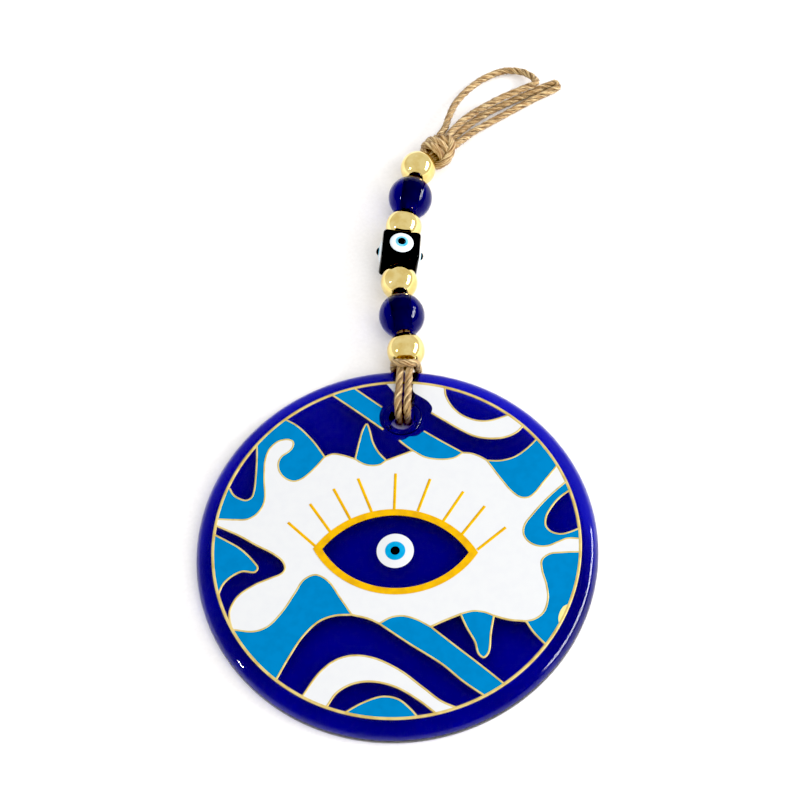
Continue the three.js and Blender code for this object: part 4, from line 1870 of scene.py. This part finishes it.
@dataclass
class RoundBeads:
    """The gold plated and the cobalt glass beads: bored balls with rounded mouths."""

    # How far past the bore the painted bore shade reaches.
    mouth_round: float = 0.3 * MM
    bore_shade_reach: float = 0.02 * MM
    gold: tuple[str, ...] = ("gold_bead_1", "gold_bead_2", "gold_bead_3", "gold_bead_4")
    cobalt: tuple[str, ...] = ("cobalt_bead_1", "cobalt_bead_2")

    def build(self, paintbox: Paintbox) -> None:
        """Makes one bead of each kind, copies it and seats the copies on the string.

        Args:
            paintbox: gives the beads their finishes.
        """
        kinds = (
            (self.gold, "plated", Finish.GOLD_PLATE, "gold_plate"),
            (self.cobalt, "glass", Finish.BEAD_GLASS, "cobalt_bead_glass"),
        )
        for names, word, finish, slot in kinds:
            low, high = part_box(names[0])
            pattern = self._turn_bead(word + "_pattern", (high.x - low.x) / 2)
            for name in names:
                bead = copy_piece(pattern, f"{word}_{name}")
                paintbox.dress(bead, finish)
                if finish is Finish.BEAD_GLASS:
                    self._paint_bore_shade(bead, paintbox)
                place_in_mesh(bead, bead_seat(name).matrix())
                settle(bead, name, name)
            bpy.data.objects.remove(pattern)

    def _paint_bore_shade(self, bead: bpy.types.Object, paintbox: Paintbox) -> None:
        """Paints a dull dark blue shade on the wall of an unplaced glass bead's bore.

        Args:
            bead: the bead, its bore still along Z.
            paintbox: gives the painted bore shade its finish.
        """
        bead.data.materials.append(paintbox.material(Finish.BORE_SHADE))
        for face in bead.data.polygons:
            if math.hypot(face.center.x, face.center.y) < BORE_RADIUS + self.bore_shade_reach:
                face.material_index = 1

    def _turn_bead(self, name: str, radius: float) -> bpy.types.Object:
        """Models a bead about the origin with its bore along Z.

        Args:
            name: the bead's name.
            radius: its radius.

        Returns:
            The bead.
        """
        deselect_all()
        bpy.ops.mesh.primitive_uv_sphere_add(segments=96, ring_count=64, radius=radius)
        bead = take_primitive(name)
        with editing(bead) as mesh:
            for corner in mesh.verts:
                corner.select_set(math.hypot(corner.co.x, corner.co.y) < BORE_RADIUS)
            bmesh.update_edit_mesh(bead.data)
            bpy.ops.mesh.delete(type="VERT")
        with editing(bead) as mesh:
            choose_edges(bead, mesh, lambda edge: edge.is_boundary)
            corner = next(edge for edge in mesh.edges if edge.is_boundary).verts[0]
            rim = math.hypot(corner.co.x, corner.co.y)
            bpy.ops.transform.resize(value=(BORE_RADIUS / rim, BORE_RADIUS / rim, 1))
            bpy.ops.mesh.bridge_edge_loops()
        mouth = self._mouth_test()
        round_edges(bead, mouth, self.mouth_round, 4)
        close_and_turn_out(bead)
        smooth(bead, 40)
        return bead

    def _mouth_test(self) -> EdgeTest:
        """Returns a test for the edges round the bore's two mouths."""
        return lambda edge: all(
            abs(math.hypot(v.co.x, v.co.y) - BORE_RADIUS) < 2e-5 for v in edge.verts
        ) and abs(edge.verts[0].co.z - edge.verts[1].co.z) < 1e-6


@dataclass
class CubeBead:
    """The black lampwork cube with a raised eye melted on each of its four long faces."""

    width: float = 11.6 * MM
    edge_round: float = 1.25 * MM
    mouth_round: float = 0.35 * MM
    spin: float = math.radians(9)
    faces: tuple[tuple[str, float], ...] = (("top", -90), ("right", 0), ("back", 90), ("left", 180))
    drops: tuple[tuple[str, float, float, float, Finish, str], ...] = (
        ("white", 3.65, -0.1, 0.8, Finish.WHITE_GLASS, "white_glass"),
        ("iris", 2.15, 0.38, 0.44, Finish.SKY_GLASS, "sky_glass"),
        ("pupil", 1.25, 0.52, 0.95, Finish.BLACK_GLASS, "black_glass"),
    )

    def build(self, paintbox: Paintbox) -> None:
        """Makes the cube and its twelve drops.

        Args:
            paintbox: gives the glass its finishes.
        """
        seat = bead_seat("cube_bead").matrix(self.spin)
        cube = self._press_cube()
        place_in_mesh(cube, seat)
        paintbox.dress(cube, Finish.BLACK_GLASS)
        settle(cube, "cube_bead", "cube_bead")
        for drop in self.drops:
            self._melt_drops(paintbox, seat, *drop)

    def _press_cube(self) -> bpy.types.Object:
        """Returns the bored cube about the origin, its bore along Z."""
        deselect_all()
        bpy.ops.mesh.primitive_cube_add(size=1, scale=(self.width, self.width, CUBE_LENGTH))
        cube = take_primitive("lampwork_cube")
        round_edges(cube, lambda edge: True, self.edge_round, 7)
        deselect_all()
        bpy.ops.mesh.primitive_cylinder_add(vertices=64, radius=BORE_RADIUS, depth=3 * CUBE_LENGTH)
        carve(cube, take_primitive("bore_mandrel"), "DIFFERENCE")
        round_edges(cube, self._mouth_test(), self.mouth_round, 4)
        close_and_turn_out(cube)
        smooth(cube, 40)
        return cube

    def _mouth_test(self) -> EdgeTest:
        """Returns a test for the edges round the bore's two mouths."""
        return lambda edge: all(
            abs(math.hypot(v.co.x, v.co.y) - BORE_RADIUS) < 2e-5 and abs(abs(v.co.z) - CUBE_LENGTH / 2) < 1e-5
            for v in edge.verts
        )

    def _melt_drops(
        self,
        paintbox: Paintbox,
        seat: Matrix,
        word: str,
        radius: float,
        base: float,
        height: float,
        finish: Finish,
        slot: str,
    ) -> None:
        """Melts one kind of drop onto each long face.

        Args:
            paintbox: gives the drops their finish.
            seat: the cube's seat.
            word: the drop's part in the eye.
            radius: the drop's radius in millimetres.
            base: how far its flat back lies out of the cube's face, in millimetres.
            height: its height in millimetres.
            finish: its finish.
            slot: the record's material slot; not used.
        """
        deselect_all()
        bpy.ops.mesh.primitive_uv_sphere_add(
            segments=56, ring_count=28, radius=1, scale=(radius * MM, radius * MM, height * MM)
        )
        pattern = take_primitive("drop_pattern")
        with editing(pattern):
            bpy.ops.mesh.select_all(action="SELECT")
            bpy.ops.mesh.bisect(plane_co=(0, 0, 1e-6), plane_no=(0, 0, 1), use_fill=True, clear_inner=True)
        close_and_turn_out(pattern)
        smooth(pattern, 50)
        lift = Matrix.Translation((0, 0, self.width / 2 + base * MM))
        for face, degrees in self.faces:
            drop = copy_piece(pattern, f"eye_{word}_drop_{face}")
            lean = Matrix.Rotation(math.radians(degrees), 4, "Z") @ Matrix.Rotation(math.radians(90), 4, "Y")
            place_in_mesh(drop, seat @ lean @ lift)
            paintbox.dress(drop, finish)
            settle(drop, "cube_bead", f"cube_{word}_{face}")
        bpy.data.objects.remove(pattern)


# ---- The whole ornament ------------------------------------------------------------------------------


def main() -> None:
    """Sets the studio, lays the loops and builds the ornament from the knot to the disc."""
    logging.basicConfig(level=logging.INFO, format="%(name)s %(message)s")
    deselect_all()
    studio = Studio()
    studio.set_camera()
    paintbox = Paintbox()
    HangingLoops().build(paintbox)
    studio.lay_table()
    studio.light()
    OverhandKnot().build(paintbox)
    GlassDisc().build(paintbox)
    Print().build(paintbox)
    Hitch().build(paintbox)
    InnerStrands().build(paintbox)
    RoundBeads().build(paintbox)
    CubeBead().build(paintbox)
    deselect_all()


if __name__ == "__main__":
    main()
